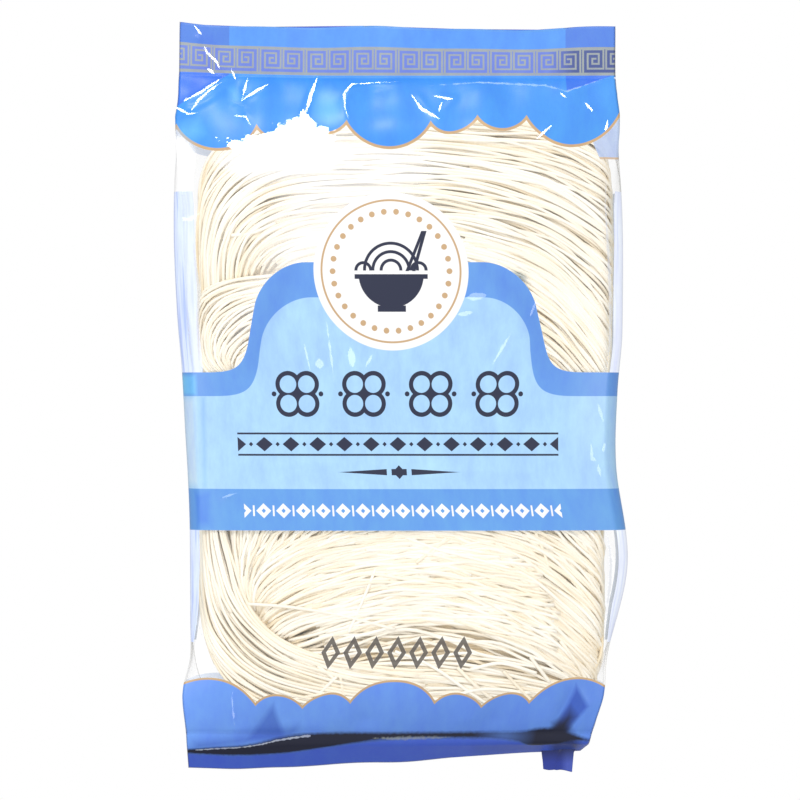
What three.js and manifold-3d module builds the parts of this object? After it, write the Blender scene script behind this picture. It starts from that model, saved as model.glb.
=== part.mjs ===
// A sealed, clear, side-gusseted bag of fine dried noodles that lies on its back, its printed front up.
// Millimetres: X runs across the bag, Y along it from the bottom seal to the top seal, and Z up.
// The bag is one closed solid: two flat seals, the shoulders that open out of them, side walls with
// a tucked gusset, and a body as thick as the folded noodles inside it.

import * as THREE from 'three';
import { mergeVertices } from 'three/addons/utils/BufferGeometryUtils.js';
import Module from 'manifold-3d';

// Lengths along the bag.
const topSealLine = 103; // Y at which the top seal ends and the bag opens
const bottomSealLine = -107.5; // Y at which the bottom seal begins
const sealWidth = 16.6; // from the seal line to the cut edge of the film
const shoulderLength = 21; // from a seal line to the full thickness, at the middle of the bag
const shoulderAtCorner = 15; // added to that at the side folds

// Heights and depths.
const bodyHeight = 30.5; // over the noodles, at the middle of the bag
const sealHeight = 15.5; // of both seal lines above the floor
const sealThickness = 0.9; // four layers of film, pressed flat
const tuckAtPeak = 12; // how far a side fold is tucked in just inside a seal
const tuckPeak = 7; // from the seal line to that place
const bodyCrease = 0.9; // depth of the same fold along the filled body
const wallBulge = 3.2; // how far a filled side wall stands out past its two folds
const frontFoldDrop = 7; // from the crown down to the front folds
const backFoldRise = 4.5; // from the floor up to the back folds
const flatShare = 0.72; // part of the half-width over which the underside is flat

// How the two seals hang.
const bendLength = 5; // of film that is curved where a seal tips over
const topTilt = THREE.MathUtils.degToRad(5);
const bottomTiltMiddle = THREE.MathUtils.degToRad(60);
const bottomTiltChange = THREE.MathUtils.degToRad(16); // less at the left, more at the right

// The silhouette from above, as [Y, X] down each side. The bag leans and swells unevenly.
const leftSilhouette = [
  [120, -70.9], [95, -71.3], [86, -72.5], [62, -72.8], [28, -71.5], [8, -69.9],
  [-42, -67.4], [-80, -67.9], [-93, -69.8], [-108, -68.8], [-125, -68.4],
];
const rightSilhouette = [
  [120, 69.0], [100, 69.1], [84, 70.7], [22, 71.0], [2, 69.4], [-22, 69.0],
  [-52, 72.7], [-78, 67.9], [-93, 65.6], [-108, 61.3], [-125, 58.0],
];

// Slow changes of thickness along the body, as [Y, height over or under bodyHeight].
const thicknessChange = [[120, 0], [80, -1.2], [48, 0.4], [-10, -1.6], [-62, 0.6], [-90, -1.0], [-125, 0]];

// The folded corner of the bottom seal, a doubled tab that pokes out under its right end.
const tabWidth = 9.8;
const tabLength = 11.5;
const tabThickness = 1.2;
const tabX = 50.9; // its middle
const tabTipY = -119.6;
const tabTipHeight = 1.7;
const tabTilt = THREE.MathUtils.degToRad(24);

// How finely the bag's surface is cut up.
const acrossSteps = 26;
const wallSteps = 6;
const alongSteps = 74;
const legShares = [0, 0.08, 0.3, 0.72, 0.92, 1]; // share of the steps used up at the end of each leg
const legEnds = [topSealLine + sealWidth, topSealLine, 70, -76, bottomSealLine, bottomSealLine - sealWidth];

// A smooth curve through [place, value] pairs, in rising or falling order of place.
function smoothThrough(pairs) {
  const sorted = [...pairs].sort((a, b) => a[0] - b[0]);
  const slopes = sorted.map((pair, i) => {
    const before = sorted[Math.max(i - 1, 0)];
    const after = sorted[Math.min(i + 1, sorted.length - 1)];
    return (after[1] - before[1]) / (after[0] - before[0]);
  });
  return (place) => {
    let i = 0;
    while (i < sorted.length - 2 && place > sorted[i + 1][0]) i += 1;
    const span = sorted[i + 1][0] - sorted[i][0];
    const t = THREE.MathUtils.clamp((place - sorted[i][0]) / span, 0, 1);
    const start = (1 + 2 * t) * (1 - t) ** 2 * sorted[i][1] + t * (1 - t) ** 2 * span * slopes[i];
    const end = t * t * (3 - 2 * t) * sorted[i + 1][1] + t * t * (t - 1) * span * slopes[i + 1];
    return start + end;
  };
}

const leftOutline = smoothThrough(leftSilhouette);
const rightOutline = smoothThrough(rightSilhouette);
const thicknessAt = smoothThrough(thicknessChange);

// The place along the bag of a station, where 0 is the top edge and 1 the bottom edge.
function placeAlong(share) {
  let leg = 0;
  while (leg < legShares.length - 2 && share > legShares[leg + 1]) leg += 1;
  return THREE.MathUtils.mapLinear(share, legShares[leg], legShares[leg + 1], legEnds[leg], legEnds[leg + 1]);
}

// How far inside the nearer seal line a place is: below 0 in a seal.
function depthInside(y) {
  return Math.min(topSealLine - y, y - bottomSealLine);
}

// From 0 at a seal line to 1 at the full thickness. The corners open later than the middle.
function opening(u, inside) {
  const length = shoulderLength + shoulderAtCorner * Math.abs(u) ** 3;
  const share = THREE.MathUtils.clamp(inside / length, 0, 1);
  return Math.sin(share * Math.PI / 2) ** 0.8;
}

// Folds that the film gathers into as it leaves a seal. They run along the bag and die out.
function gathers(u, inside) {
  if (inside <= 0) return 0;
  const fade = Math.min(inside / 5, 1) * Math.exp(-inside / 13);
  const folds = Math.sin(19 * u + 0.6) + 0.7 * Math.sin(31 * u + 2.1) + 0.5 * Math.sin(11 * u - 1);
  return 0.75 * fade * folds;
}

// The uneven top of the noodles under the film.
function noodleSwell(x, y) {
  const broad = Math.sin(x / 19 + y / 27) * Math.cos(y / 22 - 0.5);
  const fine = Math.sin(x / 8.5 - y / 14 + 1.2) * Math.sin(y / 9.5 + x / 30);
  return 0.55 * broad + 0.3 * fine;
}

// How deep the side fold is tucked in. It is deepest a little way out of each seal.
function tuckDepth(inside) {
  if (inside <= 0) return 0;
  const shape = (inside / tuckPeak) * Math.exp(1 - inside / tuckPeak);
  return bodyCrease * Math.min(inside / shoulderLength, 1) + tuckAtPeak * shape ** 1.2;
}

// A seal that tips over: how far out and how far down a point of it is, and its slope there.
function tippedSeal(distance, tilt) {
  const curved = Math.min(distance, bendLength);
  const slope = tilt * curved / bendLength;
  const radius = bendLength / tilt;
  const straight = distance - curved;
  return {
    out: radius * Math.sin(slope) + straight * Math.cos(tilt),
    down: radius * (1 - Math.cos(slope)) + straight * Math.sin(tilt),
    slope,
  };
}

// The waves of the cut edges and of the pressed seals.
function edgeWave(u, end) {
  if (end > 0) return 0.6 * Math.sin(5.2 * u + 2.4) - 0.25 * Math.sin(13 * u) - 0.8;
  return 0.45 * Math.sin(7 * u + 1);
}

function sealRipple(u, distance) {
  return (distance / sealWidth) * (0.5 * Math.sin(6.3 * u + 0.4) + 0.25 * Math.sin(14 * u));
}

// A point of a seal. u runs from -1 at the left fold to 1 at the right one, and t from back to front.
function sealPoint(u, t, y) {
  const end = y > 0 ? 1 : -1;
  const line = end > 0 ? topSealLine : bottomSealLine;
  const distance = Math.abs(y - line) * (1 + edgeWave(u, end) / sealWidth);
  const tilt = end > 0 ? topTilt : bottomTiltMiddle + bottomTiltChange * u;
  const { out, down, slope } = tippedSeal(distance, tilt);
  const lift = t * sealThickness / 2 + sealRipple(u, distance) * Math.cos(slope);
  const x = THREE.MathUtils.mapLinear(u, -1, 1, leftOutline(y), rightOutline(y));
  const along = line + end * (out + lift * Math.sin(slope));
  return new THREE.Vector3(x, along, sealHeight - down + lift * Math.cos(slope));
}

// A point of the open bag, on its front (t = 1), its back (t = -1) or a side wall (u = -1 or 1).
function bodyPoint(u, t, y) {
  const inside = depthInside(y);
  const open = opening(u, inside);
  const full = opening(0, inside);
  const bulge = wallBulge * Math.min(inside / (2 * shoulderLength), 1);
  const leftFold = leftOutline(y) + bulge;
  const rightFold = rightOutline(y) - bulge;
  const halfSeal = sealThickness / 2;
  let x = THREE.MathUtils.mapLinear(u, -1, 1, leftFold, rightFold);

  const crown = bodyHeight + thicknessAt(y) + noodleSwell(x, y) * full * (1 - u ** 4);
  const foldDrop = frontFoldDrop * full * Math.abs(u) ** 4;
  const frontZ = sealHeight + halfSeal + open * (crown - sealHeight - halfSeal) - foldDrop * open
    + gathers(u, inside) * (1 - Math.abs(u) ** 6);
  const lifted = Math.max(Math.abs(u) - flatShare, 0) / (1 - flatShare);
  const backZ = (sealHeight - halfSeal) * (1 - open) + backFoldRise * open * lifted ** 2;

  const z = THREE.MathUtils.mapLinear(t, -1, 1, backZ, frontZ);
  if (Math.abs(u) === 1) {
    const outward = bulge * (1 - t * t) - tuckDepth(inside) * (1 - Math.abs(t)) ** 1.1;
    x += u * outward;
  }
  return new THREE.Vector3(x, y, z);
}

// The bag without its folded corner: a box whose surface is moved onto the bag's.
function makeBagGeometry() {
  const box = new THREE.BoxGeometry(2, 1, 2, acrossSteps, alongSteps, wallSteps);
  const places = box.getAttribute('position');
  for (let i = 0; i < places.count; i += 1) {
    const [u, t] = [places.getX(i), places.getZ(i)];
    const y = placeAlong(0.5 - places.getY(i));
    const point = depthInside(y) <= 0 ? sealPoint(u, t, y) : bodyPoint(u, t, y);
    places.setXYZ(i, point.x, point.y, point.z);
  }
  return box;
}

// The corner of the bottom seal, folded back on itself into a tapered tab.
function makeTabGeometry() {
  const half = tabWidth / 2;
  const outline = new THREE.Shape();
  outline.moveTo(-half, 0);
  outline.lineTo(half * 0.9, -0.6);
  outline.lineTo(half, tabLength * 0.55);
  outline.lineTo(half * 1.5, tabLength);
  outline.lineTo(-half * 1.2, tabLength);
  outline.closePath();
  const tab = new THREE.ExtrudeGeometry(outline, { depth: tabThickness, bevelEnabled: false });
  tab.rotateX(tabTilt);
  tab.translate(tabX, tabTipY, tabTipHeight);
  return tab;
}

function welded(geometry) {
  geometry.deleteAttribute('normal');
  geometry.deleteAttribute('uv');
  return mergeVertices(geometry, 1e-4);
}

async function joined(geometries) {
  const manifold = await Module();
  manifold.setup();
  const solids = geometries.map((geometry) => {
    const { position } = geometry.attributes;
    const vertProperties = new Float32Array(position.array);
    const triVerts = new Uint32Array(geometry.index.array);
    return new manifold.Manifold(new manifold.Mesh({ numProp: 3, vertProperties, triVerts }));
  });
  const mesh = solids.reduce((whole, solid) => whole.add(solid)).getMesh();
  const geometry = new THREE.BufferGeometry();
  geometry.setAttribute('position', new THREE.Float32BufferAttribute(mesh.vertProperties, 3));
  geometry.setIndex([...mesh.triVerts]);
  return geometry;
}

const bagGeometry = await joined([welded(makeBagGeometry()), welded(makeTabGeometry())]);
bagGeometry.computeBoundingBox();
const { min, max } = bagGeometry.boundingBox;
bagGeometry.translate(-(min.x + max.x) / 2, -(min.y + max.y) / 2, -min.z);

const bagMaterial = new THREE.MeshStandardMaterial({ color: '#8dbcf4', roughness: 0.3, metalness: 0 });
const sealedBag = new THREE.Mesh(bagGeometry, bagMaterial);
sealedBag.name = 'sealed_bag';

const noodlePack = new THREE.Group();
noodlePack.add(sealedBag);

export default noodlePack;
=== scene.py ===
import math

import bmesh
import bpy
import numpy as np
from mathutils import Matrix, Vector, noise


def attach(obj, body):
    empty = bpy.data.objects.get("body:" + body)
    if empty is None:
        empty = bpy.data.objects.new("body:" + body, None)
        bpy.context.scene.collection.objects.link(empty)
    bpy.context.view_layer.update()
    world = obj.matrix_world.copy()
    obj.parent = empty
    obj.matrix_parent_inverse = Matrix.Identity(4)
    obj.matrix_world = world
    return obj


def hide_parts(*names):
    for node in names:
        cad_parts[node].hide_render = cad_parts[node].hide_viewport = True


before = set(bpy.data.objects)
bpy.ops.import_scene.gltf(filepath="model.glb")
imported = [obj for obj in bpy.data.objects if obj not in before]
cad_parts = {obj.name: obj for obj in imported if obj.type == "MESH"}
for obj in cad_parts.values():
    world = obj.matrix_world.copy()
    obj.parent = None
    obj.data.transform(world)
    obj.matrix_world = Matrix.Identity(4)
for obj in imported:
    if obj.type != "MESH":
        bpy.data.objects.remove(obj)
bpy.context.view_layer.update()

mm = 0.001
pixelSize = 0.32          # mm of the real bag to a pixel of the photograph
photoMiddle = (400.5, 398)  # the bag's own zero in the photograph
frameShift = np.array([-0.0445, 0.675, 0.0])   # mm from the bag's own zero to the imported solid's
bagNode = "sealed_bag"


def fromPhoto(px, py):  # a place on the bag, in mm
    return (px - photoMiddle[0]) * pixelSize, (photoMiddle[1] - py) * pixelSize


def smoothThrough(pairs):  # a smooth curve through (place, value) pairs
    places, values = np.array(sorted(pairs), float).T
    slopes = np.empty_like(values)
    for i in range(len(places)):
        before, after = max(i - 1, 0), min(i + 1, len(places) - 1)
        slopes[i] = (values[after] - values[before]) / (places[after] - places[before])

    def valueAt(place):
        i = np.clip(np.searchsorted(places, place) - 1, 0, len(places) - 2)
        span = places[i + 1] - places[i]
        t = np.clip((place - places[i]) / span, 0, 1)
        start = (1 + 2 * t) * (1 - t) ** 2 * values[i] + t * (1 - t) ** 2 * span * slopes[i]
        end = t * t * (3 - 2 * t) * values[i + 1] + t * t * (t - 1) * span * slopes[i + 1]
        return start + end

    return valueAt


# the bag's own shape, as its solid has it, in mm

bag = dict(
    topSealLine=103.0, bottomSealLine=-107.5, sealWidth=16.6,
    panelHalf=70.0, gusset=32.0,                 # the film's front panel and side walls, laid flat
    shoulder=21.0, shoulderAtCorner=15.0,
    height=30.5, sealHeight=15.5, sealThickness=0.5,
    frontFoldDrop=7.0, backFoldRise=4.5, flatShare=0.72,
    wallBulge=3.2, crease=0.9, tuck=12.0, tuckPeak=7.0, tuckInSeal=15.0,
    bendLength=5.0, topTilt=math.radians(5),
    bottomTilt=math.radians(60), bottomTiltChange=math.radians(16),
)
leftOutline = smoothThrough([
    (120, -70.9), (95, -71.3), (86, -72.5), (62, -72.8), (28, -71.5), (8, -69.9),
    (-42, -67.4), (-80, -67.9), (-93, -69.8), (-108, -68.8), (-125, -68.4)])
rightOutline = smoothThrough([
    (120, 69.0), (100, 69.1), (84, 70.7), (22, 71.0), (2, 69.4), (-22, 69.0),
    (-52, 72.7), (-78, 67.9), (-93, 65.6), (-108, 61.3), (-125, 58.0)])
thicknessAt = smoothThrough([
    (120, 0), (80, -1.2), (48, 0.4), (-10, -1.6), (-62, 0.6), (-90, -1.0), (-125, 0)])


def depthInside(y):  # from the nearer seal line, below 0 in a seal
    return np.minimum(bag["topSealLine"] - y, y - bag["bottomSealLine"])


def opening(u, inside):
    length = bag["shoulder"] + bag["shoulderAtCorner"] * np.abs(u) ** 3
    return np.sin(np.clip(inside / length, 0, 1) * math.pi / 2) ** 0.8


def gathers(u, inside):
    fade = np.clip(inside / 5, 0, 1) * np.exp(-np.maximum(inside, 0) / 13)
    folds = np.sin(19 * u + 0.6) + 0.7 * np.sin(31 * u + 2.1) + 0.5 * np.sin(11 * u - 1)
    return 0.75 * fade * folds


def noodleSwell(x, y):
    broad = np.sin(x / 19 + y / 27) * np.cos(y / 22 - 0.5)
    fine = np.sin(x / 8.5 - y / 14 + 1.2) * np.sin(y / 9.5 + x / 30)
    return 0.55 * broad + 0.3 * fine


def foldsAt(y):  # x of the left and the right fold of the open bag
    bulge = bag["wallBulge"] * np.clip((depthInside(y) - 12) / 30, 0, 1)
    return leftOutline(y) + bulge, rightOutline(y) - bulge


def frontHeight(x, u, y, gathered=1.0):
    inside, half = depthInside(y), bag["sealThickness"] / 2
    full, opened = opening(0, inside), opening(u, inside)
    crown = bag["height"] + thicknessAt(y) + noodleSwell(x, y) * full * (1 - u ** 4)
    drop = bag["frontFoldDrop"] * full * np.abs(u) ** 4 * opened
    base = bag["sealHeight"] + half
    return base + opened * (crown - base) - drop + gathered * gathers(u, inside) * (1 - np.abs(u) ** 6)


def backHeight(u, y):
    opened, half = opening(u, depthInside(y)), bag["sealThickness"] / 2
    lifted = np.maximum(np.abs(u) - bag["flatShare"], 0) / (1 - bag["flatShare"])
    return (bag["sealHeight"] - half) * (1 - opened) + bag["backFoldRise"] * opened * lifted ** 2


def tuckDepth(inside):  # how far a side wall is folded in
    shape = np.maximum(inside, 0) / bag["tuckPeak"] * np.exp(1 - np.maximum(inside, 0) / bag["tuckPeak"])
    settled = bag["crease"] * np.clip(inside / bag["shoulder"], 0, 1) + bag["tuck"] * shape ** 1.2
    share = np.clip(inside / bag["tuckPeak"], 0, 1)
    return np.where(share < 1, bag["tuckInSeal"] * (1 - share) + (bag["tuck"] + 0.3) * share, settled)


bottomEdge = smoothThrough([
    (-1, -1.9), (-0.85, -1.6), (-0.62, -0.2), (-0.45, 1.0), (-0.2, 0.3), (0.4, -0.7), (1, -1.0)])


def cornerRise(x, y):  # the top left corner of the bag stands a little higher
    return 2.1 * np.clip((-20 - x) / 50, 0, 1) ** 1.5 * np.clip((y - 88) / 22, 0, 1) ** 1.4


def sealPoints(u, t, y):
    end = np.where(y > 0, 1.0, -1.0)
    line = np.where(y > 0, bag["topSealLine"], bag["bottomSealLine"])
    left, right = leftOutline(y), rightOutline(y)
    x = left + (right - left) * (u + 1) / 2
    x = x - np.sign(u) * (np.abs(u) == 1) * bag["tuckInSeal"] * (1 - np.abs(t)) ** 1.1
    u = 2 * (x - left) / (right - left) - 1   # so that the welded layers keep together
    topWave = 0.6 * np.sin(5.2 * u + 2.4) - 0.25 * np.sin(13 * u) - 0.8
    wave = np.where(y > 0, topWave, 0.45 * np.sin(7 * u + 1) + bottomEdge(u))
    distance = np.abs(y - line) * (1 + wave / bag["sealWidth"])
    tilt = np.where(y > 0, bag["topTilt"], bag["bottomTilt"] + bag["bottomTiltChange"] * u)
    curved = np.minimum(distance, bag["bendLength"])
    slope, radius = tilt * curved / bag["bendLength"], bag["bendLength"] / tilt
    out = radius * np.sin(slope) + (distance - curved) * np.cos(tilt)
    down = radius * (1 - np.cos(slope)) + (distance - curved) * np.sin(tilt)
    ripple = distance / bag["sealWidth"] * (0.5 * np.sin(6.3 * u + 0.4) + 0.25 * np.sin(14 * u))
    lift = t * bag["sealThickness"] / 2 + ripple * np.cos(slope)
    return x, line + end * (out + lift * np.sin(slope)), bag["sealHeight"] - down + lift * np.cos(slope)


def bodyPoints(u, t, y):
    inside = depthInside(y)
    left, right = foldsAt(y)
    x = left + (right - left) * (u + 1) / 2
    front, back = frontHeight(x, u, y), backHeight(u, y)
    bulge = 1.35 * bag["wallBulge"] * np.clip(inside / (2 * bag["shoulder"]), 0, 1)
    outward = bulge * (1 - t * t) - tuckDepth(inside) * (1 - np.abs(t)) ** 1.1
    x = x + np.sign(u) * (np.abs(u) == 1) * outward
    return x, y, back + (front - back) * (t + 1) / 2


def filmPoints(around, along):  # around the tube of film from the middle of its front, and along it
    half, wall = bag["panelHalf"], bag["gusset"]
    side = np.sign(around)
    away = np.abs(around)
    onPanel, onWall = away < half, away <= half + wall
    u = np.where(onPanel, around / half, np.where(onWall, side, side * (2 * half + wall - away) / half))
    t = np.where(onPanel, 1.0, np.where(onWall, 1 - 2 * (away - half) / wall, -1.0))
    seal, body = sealPoints(u, t, along), bodyPoints(u, t, along)
    inSeal = depthInside(along) <= 0
    x, y, z = [np.where(inSeal, s, b) for s, b in zip(seal, body)]
    return np.stack([x, y + cornerRise(x, y), z], axis=-1)


viewHeight, focusHeight = 1620.0, 20.0   # mm of the camera and of what it is scaled to


def onFilm(px, py):  # where on the flat film a place of the photograph lies, front side only
    x, y = fromPhoto(px, py)
    alongs = np.linspace(bag["bottomSealLine"] - 16.5, bag["topSealLine"] + 16.5, 1500)
    around = x
    for _ in range(5):
        places = filmPoints(np.full_like(alongs, np.clip(around, -69.9, 69.9)), alongs)
        seen = places[:, :2] * ((viewHeight - focusHeight) / (viewHeight - places[:, 2:]))
        along = np.interp(y, seen[:, 1], alongs)
        around += x - np.interp(along, alongs, seen[:, 0])
    return around, along


def newPiece(name, mesh, material, smooth=True):
    mesh.materials.append(material)
    piece = bpy.data.objects.new(name, mesh)
    bpy.context.scene.collection.objects.link(piece)
    if smooth:
        mesh.polygons.foreach_set("use_smooth", [True] * len(mesh.polygons))
    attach(piece, "root")
    return piece


def readBack(items, name):  # three numbers for each item
    values = np.empty(len(items) * 3, np.float32)
    items.foreach_get(name, values)
    return values.reshape(-1, 3)


def setToneAndShade(mesh, toneAndShade):
    values = np.asarray(toneAndShade, np.float32)
    mesh.attributes.new("strand", "FLOAT", "POINT").data.foreach_set("value", values)


def movedTo(mesh, places):  # places in mm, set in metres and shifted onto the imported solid
    mesh.vertices.foreach_set("co", ((places + frameShift) * mm).ravel().astype(np.float32))
    mesh.update()


def newGroup(name, inputs, outputs):  # inputs and outputs are (name, kind) pairs
    tree = bpy.data.node_groups.new(name, "ShaderNodeTree")
    for socketName, kind in inputs:
        tree.interface.new_socket(socketName, in_out="INPUT", socket_type="NodeSocket" + kind)
    for socketName, kind in outputs:
        tree.interface.new_socket(socketName, in_out="OUTPUT", socket_type="NodeSocket" + kind)
    given = {socket.name: Value(socket) for socket in tree.nodes.new("NodeGroupInput").outputs}
    return tree, given, tree.nodes.new("NodeGroupOutput").inputs


class Value:  # a number in a node tree: arithmetic on it becomes Math nodes, made when it is plugged in
    def __init__(self, socket=None, operation=None, inputs=(), clamp=False):
        self.socket, self.operation, self.inputs, self.clamp = socket, operation, inputs, clamp

    def out(self):
        if self.socket is None:
            node = treeOf(*self.inputs).nodes.new("ShaderNodeMath")
            node.operation, node.use_clamp = self.operation, self.clamp
            for socket, value in zip(node.inputs, self.inputs):
                plug(socket, value)
            self.socket = node.outputs[0]
        return self.socket

    def __add__(self, other):
        if self.operation == "MULTIPLY" and self.socket is None and not self.clamp:
            return made("MULTIPLY_ADD", *self.inputs, other)
        return made("ADD", self, other)

    def __sub__(self, other):
        return made("SUBTRACT", self, other) if isinstance(other, Value) else self + -other

    def __rsub__(self, other):
        return made("SUBTRACT", other, self)

    def __mul__(self, other):
        return made("MULTIPLY", self, other)

    def __pow__(self, other):
        return made("POWER", self, other)

    def __abs__(self):
        return made("ABSOLUTE", self)

    def __gt__(self, other):
        return made("GREATER_THAN", self, other)

    def __lt__(self, other):
        return made("LESS_THAN", self, other)


def treeOf(*values):  # the node tree that the first socket among these values belongs to
    for value in values:
        if isinstance(value, bpy.types.NodeSocket):
            return value.id_data
        if isinstance(value, Value):
            return value.socket.id_data if value.socket else treeOf(*value.inputs)


def made(operation, *inputs):
    return Value(None, operation, inputs)


def clamped(value):  # held between 0 and 1
    return Value(None, value.operation, value.inputs, True)


def larger(first, *others):
    return made("MAXIMUM", larger(first, *others[:-1]), others[-1]) if others else first


def smaller(first, *others):
    return made("MINIMUM", smaller(first, *others[:-1]), others[-1]) if others else first


def plug(socket, value):
    if isinstance(value, Value):
        value = value.out()
    if isinstance(value, bpy.types.NodeSocket):
        socket.id_data.links.new(value, socket)
    else:
        socket.default_value = value


def fill(node, values):  # plugs each value into the input with its name or number
    for key, value in values.items():
        plug(node.inputs[key], value)
    return node


def newNode(tree, kind, values):
    return fill(tree.nodes.new("ShaderNode" + kind), values)


def vectorOf(tree, x, y, z=0.0):
    return newNode(tree, "CombineXYZ", {"X": x, "Y": y, "Z": z}).outputs[0]


def useGroup(tree, group, **values):
    node = tree.nodes.new("ShaderNodeGroup")
    node.node_tree = group
    fill(node, values)
    return {socket.name: Value(socket) for socket in node.outputs}


def mixColor(amount, first, second, blend="MIX"):
    node = treeOf(amount, first, second).nodes.new("ShaderNodeMix")
    node.data_type, node.blend_type = "RGBA", blend
    return fill(node, {0: amount, 6: first, 7: second}).outputs[2]


def noiseTexture(tree, vector, scale, detail=2.0, roughness=0.5, flat=False):  # flat takes x and y only
    node = tree.nodes.new("ShaderNodeTexNoise")
    node.noise_dimensions = "2D" if flat else "3D"
    fill(node, {"Scale": scale, "Detail": detail, "Roughness": roughness, "Vector": vector})
    return Value(node.outputs["Fac"])


def mixShaders(amount, first, second):
    values = {0: amount, 1: first.outputs[0], 2: second.outputs[0]}
    return newNode(first.id_data, "MixShader", values)


def newMaterial(name):
    material = bpy.data.materials.new(name)
    material.use_nodes = True
    tree = material.node_tree
    tree.nodes.clear()
    return material, tree, tree.nodes.new("ShaderNodeOutputMaterial").inputs["Surface"]


def fromHex(text, shade=1.0):  # a screen colour as a surface colour
    def linear(c):
        return c / 12.92 if c <= 0.04045 else ((c + 0.055) / 1.055) ** 2.4
    channels = [linear(int(text[i:i + 2], 16) / 255) * shade for i in (0, 2, 4)]
    return (*channels, 1.0)


print("helpers ready")


# printing on the film: signed distances in mm, above 0 inside the ink

def maskOf(distance):  # softened over a tenth of a millimetre
    return clamped(distance * 9.0 + 0.5)


def discIn(x, y, middle, height, radius):
    dx, dy = x - middle, y - height
    return radius - made("SQRT", dx * dx + dy * dy)


def barIn(x, y, middle, height, halfWidth, halfHeight):  # an upright rectangle
    return smaller(halfWidth - abs(x - middle), halfHeight - abs(y - height))


# scallops: middle from the panel's middle, half their width, and their drop
headerScallops = [
    (0.0, 13.2, 8.2), (20.5, 7.35, 4.3), (35.6, 7.75, 4.5), (58.2, 14.9, 9.0), (86.2, 13.2, 8.0),
]
footerScallops = [
    (0.0, 14.0, 7.7), (21.95, 7.95, 3.8), (37.75, 7.85, 3.8), (61.2, 15.6, 8.1), (88.0, 11.5, 7.0),
]


def makeScallopGroup(scallops):
    tree, given, result = newGroup(
        "scalloped edge", [("Aside", "Float"), ("Rise", "Float")], [("Distance", "Float")])
    best = given["Rise"]
    for middle, halfWidth, drop in scallops:
        radius = (halfWidth ** 2 + drop ** 2) / (2 * drop)
        one = discIn(given["Aside"], given["Rise"], middle, radius - drop, radius)
        best = larger(best, one)
    plug(result["Distance"], best)
    return tree


def makePanelGroup():  # a band with a raised, round-shouldered middle part
    names = ["Half Width", "Lean", "Top", "Band Top", "Corner", "Fillet"]
    tree, given, result = newGroup(
        "shouldered panel", [("Aside", "Float"), ("Up", "Float")] + [(n, "Float") for n in names],
        [("Distance", "Float")])
    corner = given["Corner"]
    leaning = (given["Up"] - given["Band Top"]) * given["Lean"] + given["Aside"]
    dx = leaning - (given["Half Width"] - corner)
    dy = given["Up"] - (given["Top"] - corner)
    px, py = larger(dx, 0.0), larger(dy, 0.0)
    outer = made("SQRT", px * px + py * py)
    inner = smaller(larger(dx, dy), 0.0)
    raised = corner - (outer + inner)
    band = given["Band Top"] - given["Up"]
    plug(result["Distance"], made("SMOOTH_MAX", raised, band, given["Fillet"]))
    return tree


keyBand = dict(unit=7.4, height=9.3, line=0.6)
# one unit of the key pattern as bars: middle and half size, in shares of the unit and of the band
keyBars = [
    (-0.44, 0.02, 0.0, 0.40), (0.0, 0.42, 0.44, 0.0), (0.44, 0.08, 0.0, 0.34), (0.10, -0.26, 0.34, 0.0),
    (-0.24, 0.0, 0.0, 0.26), (0.0, 0.26, 0.24, 0.0), (0.24, 0.09, 0.0, 0.17), (0.10, -0.09, 0.14, 0.0),
    (-0.04, 0.0, 0.0, 0.09), (0.03, 0.09, 0.07, 0.0), (0.0, -0.43, 0.5, 0.0),
]


def makeKeyGroup():  # traditional squared spirals, every second one mirrored
    tree, given, result = newGroup(
        "key band", [("Around", "Float"), ("Up", "Float")], [("Lines", "Float"), ("Border", "Float")])
    unit, high = keyBand["unit"], keyBand["height"]
    across = made("PINGPONG", given["Around"] + 400 * unit, unit) - unit / 2
    half = keyBand["line"] / 2
    bars = [barIn(across, given["Up"], x * unit, y * high, halfX * unit + half, halfY * high + half)
            for x, y, halfX, halfY in keyBars]
    plug(result["Lines"], maskOf(larger(*bars)))
    rim = abs(given["Up"]) - (high / 2 - 0.75)
    plug(result["Border"], maskOf(rim))
    return tree


headerEdge, footerEdge = makeScallopGroup(headerScallops), makeScallopGroup(footerScallops)
shoulderedPanel, keyPattern = makePanelGroup(), makeKeyGroup()

medallion = dict(middle=-2.6, height=40.3, radius=25.2, ring=22.6, ringLine=0.32, beads=19.6)
inks = dict(
    strip="5c9efb", sky="429bf9", overlap="4179ee", doubled="5684e2", border="68a0ed", field="aed9ff",
    deep="5f9eea", lowBand="66a3ec", footer="70a4fd", tan="d1ae84", white="ffffff", navy="262c46",
    brown="453a2e", bandGround="768ce0", bandLine="a8b0ae", foldShade="020a2c", deepestFoldShade="000018",
    foldShine="bcc5dc", lowStrip="3d5fcd", shade="3a62c6", tab="2a40a4", tabLitFace="5166cc",
    sideField="d6e2fe", sideDeep="b0c2f2", beside="b0c5ec", inside="e2ecfd", paleHighlight="78caff", bendShade="a8aebd",
)


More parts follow.
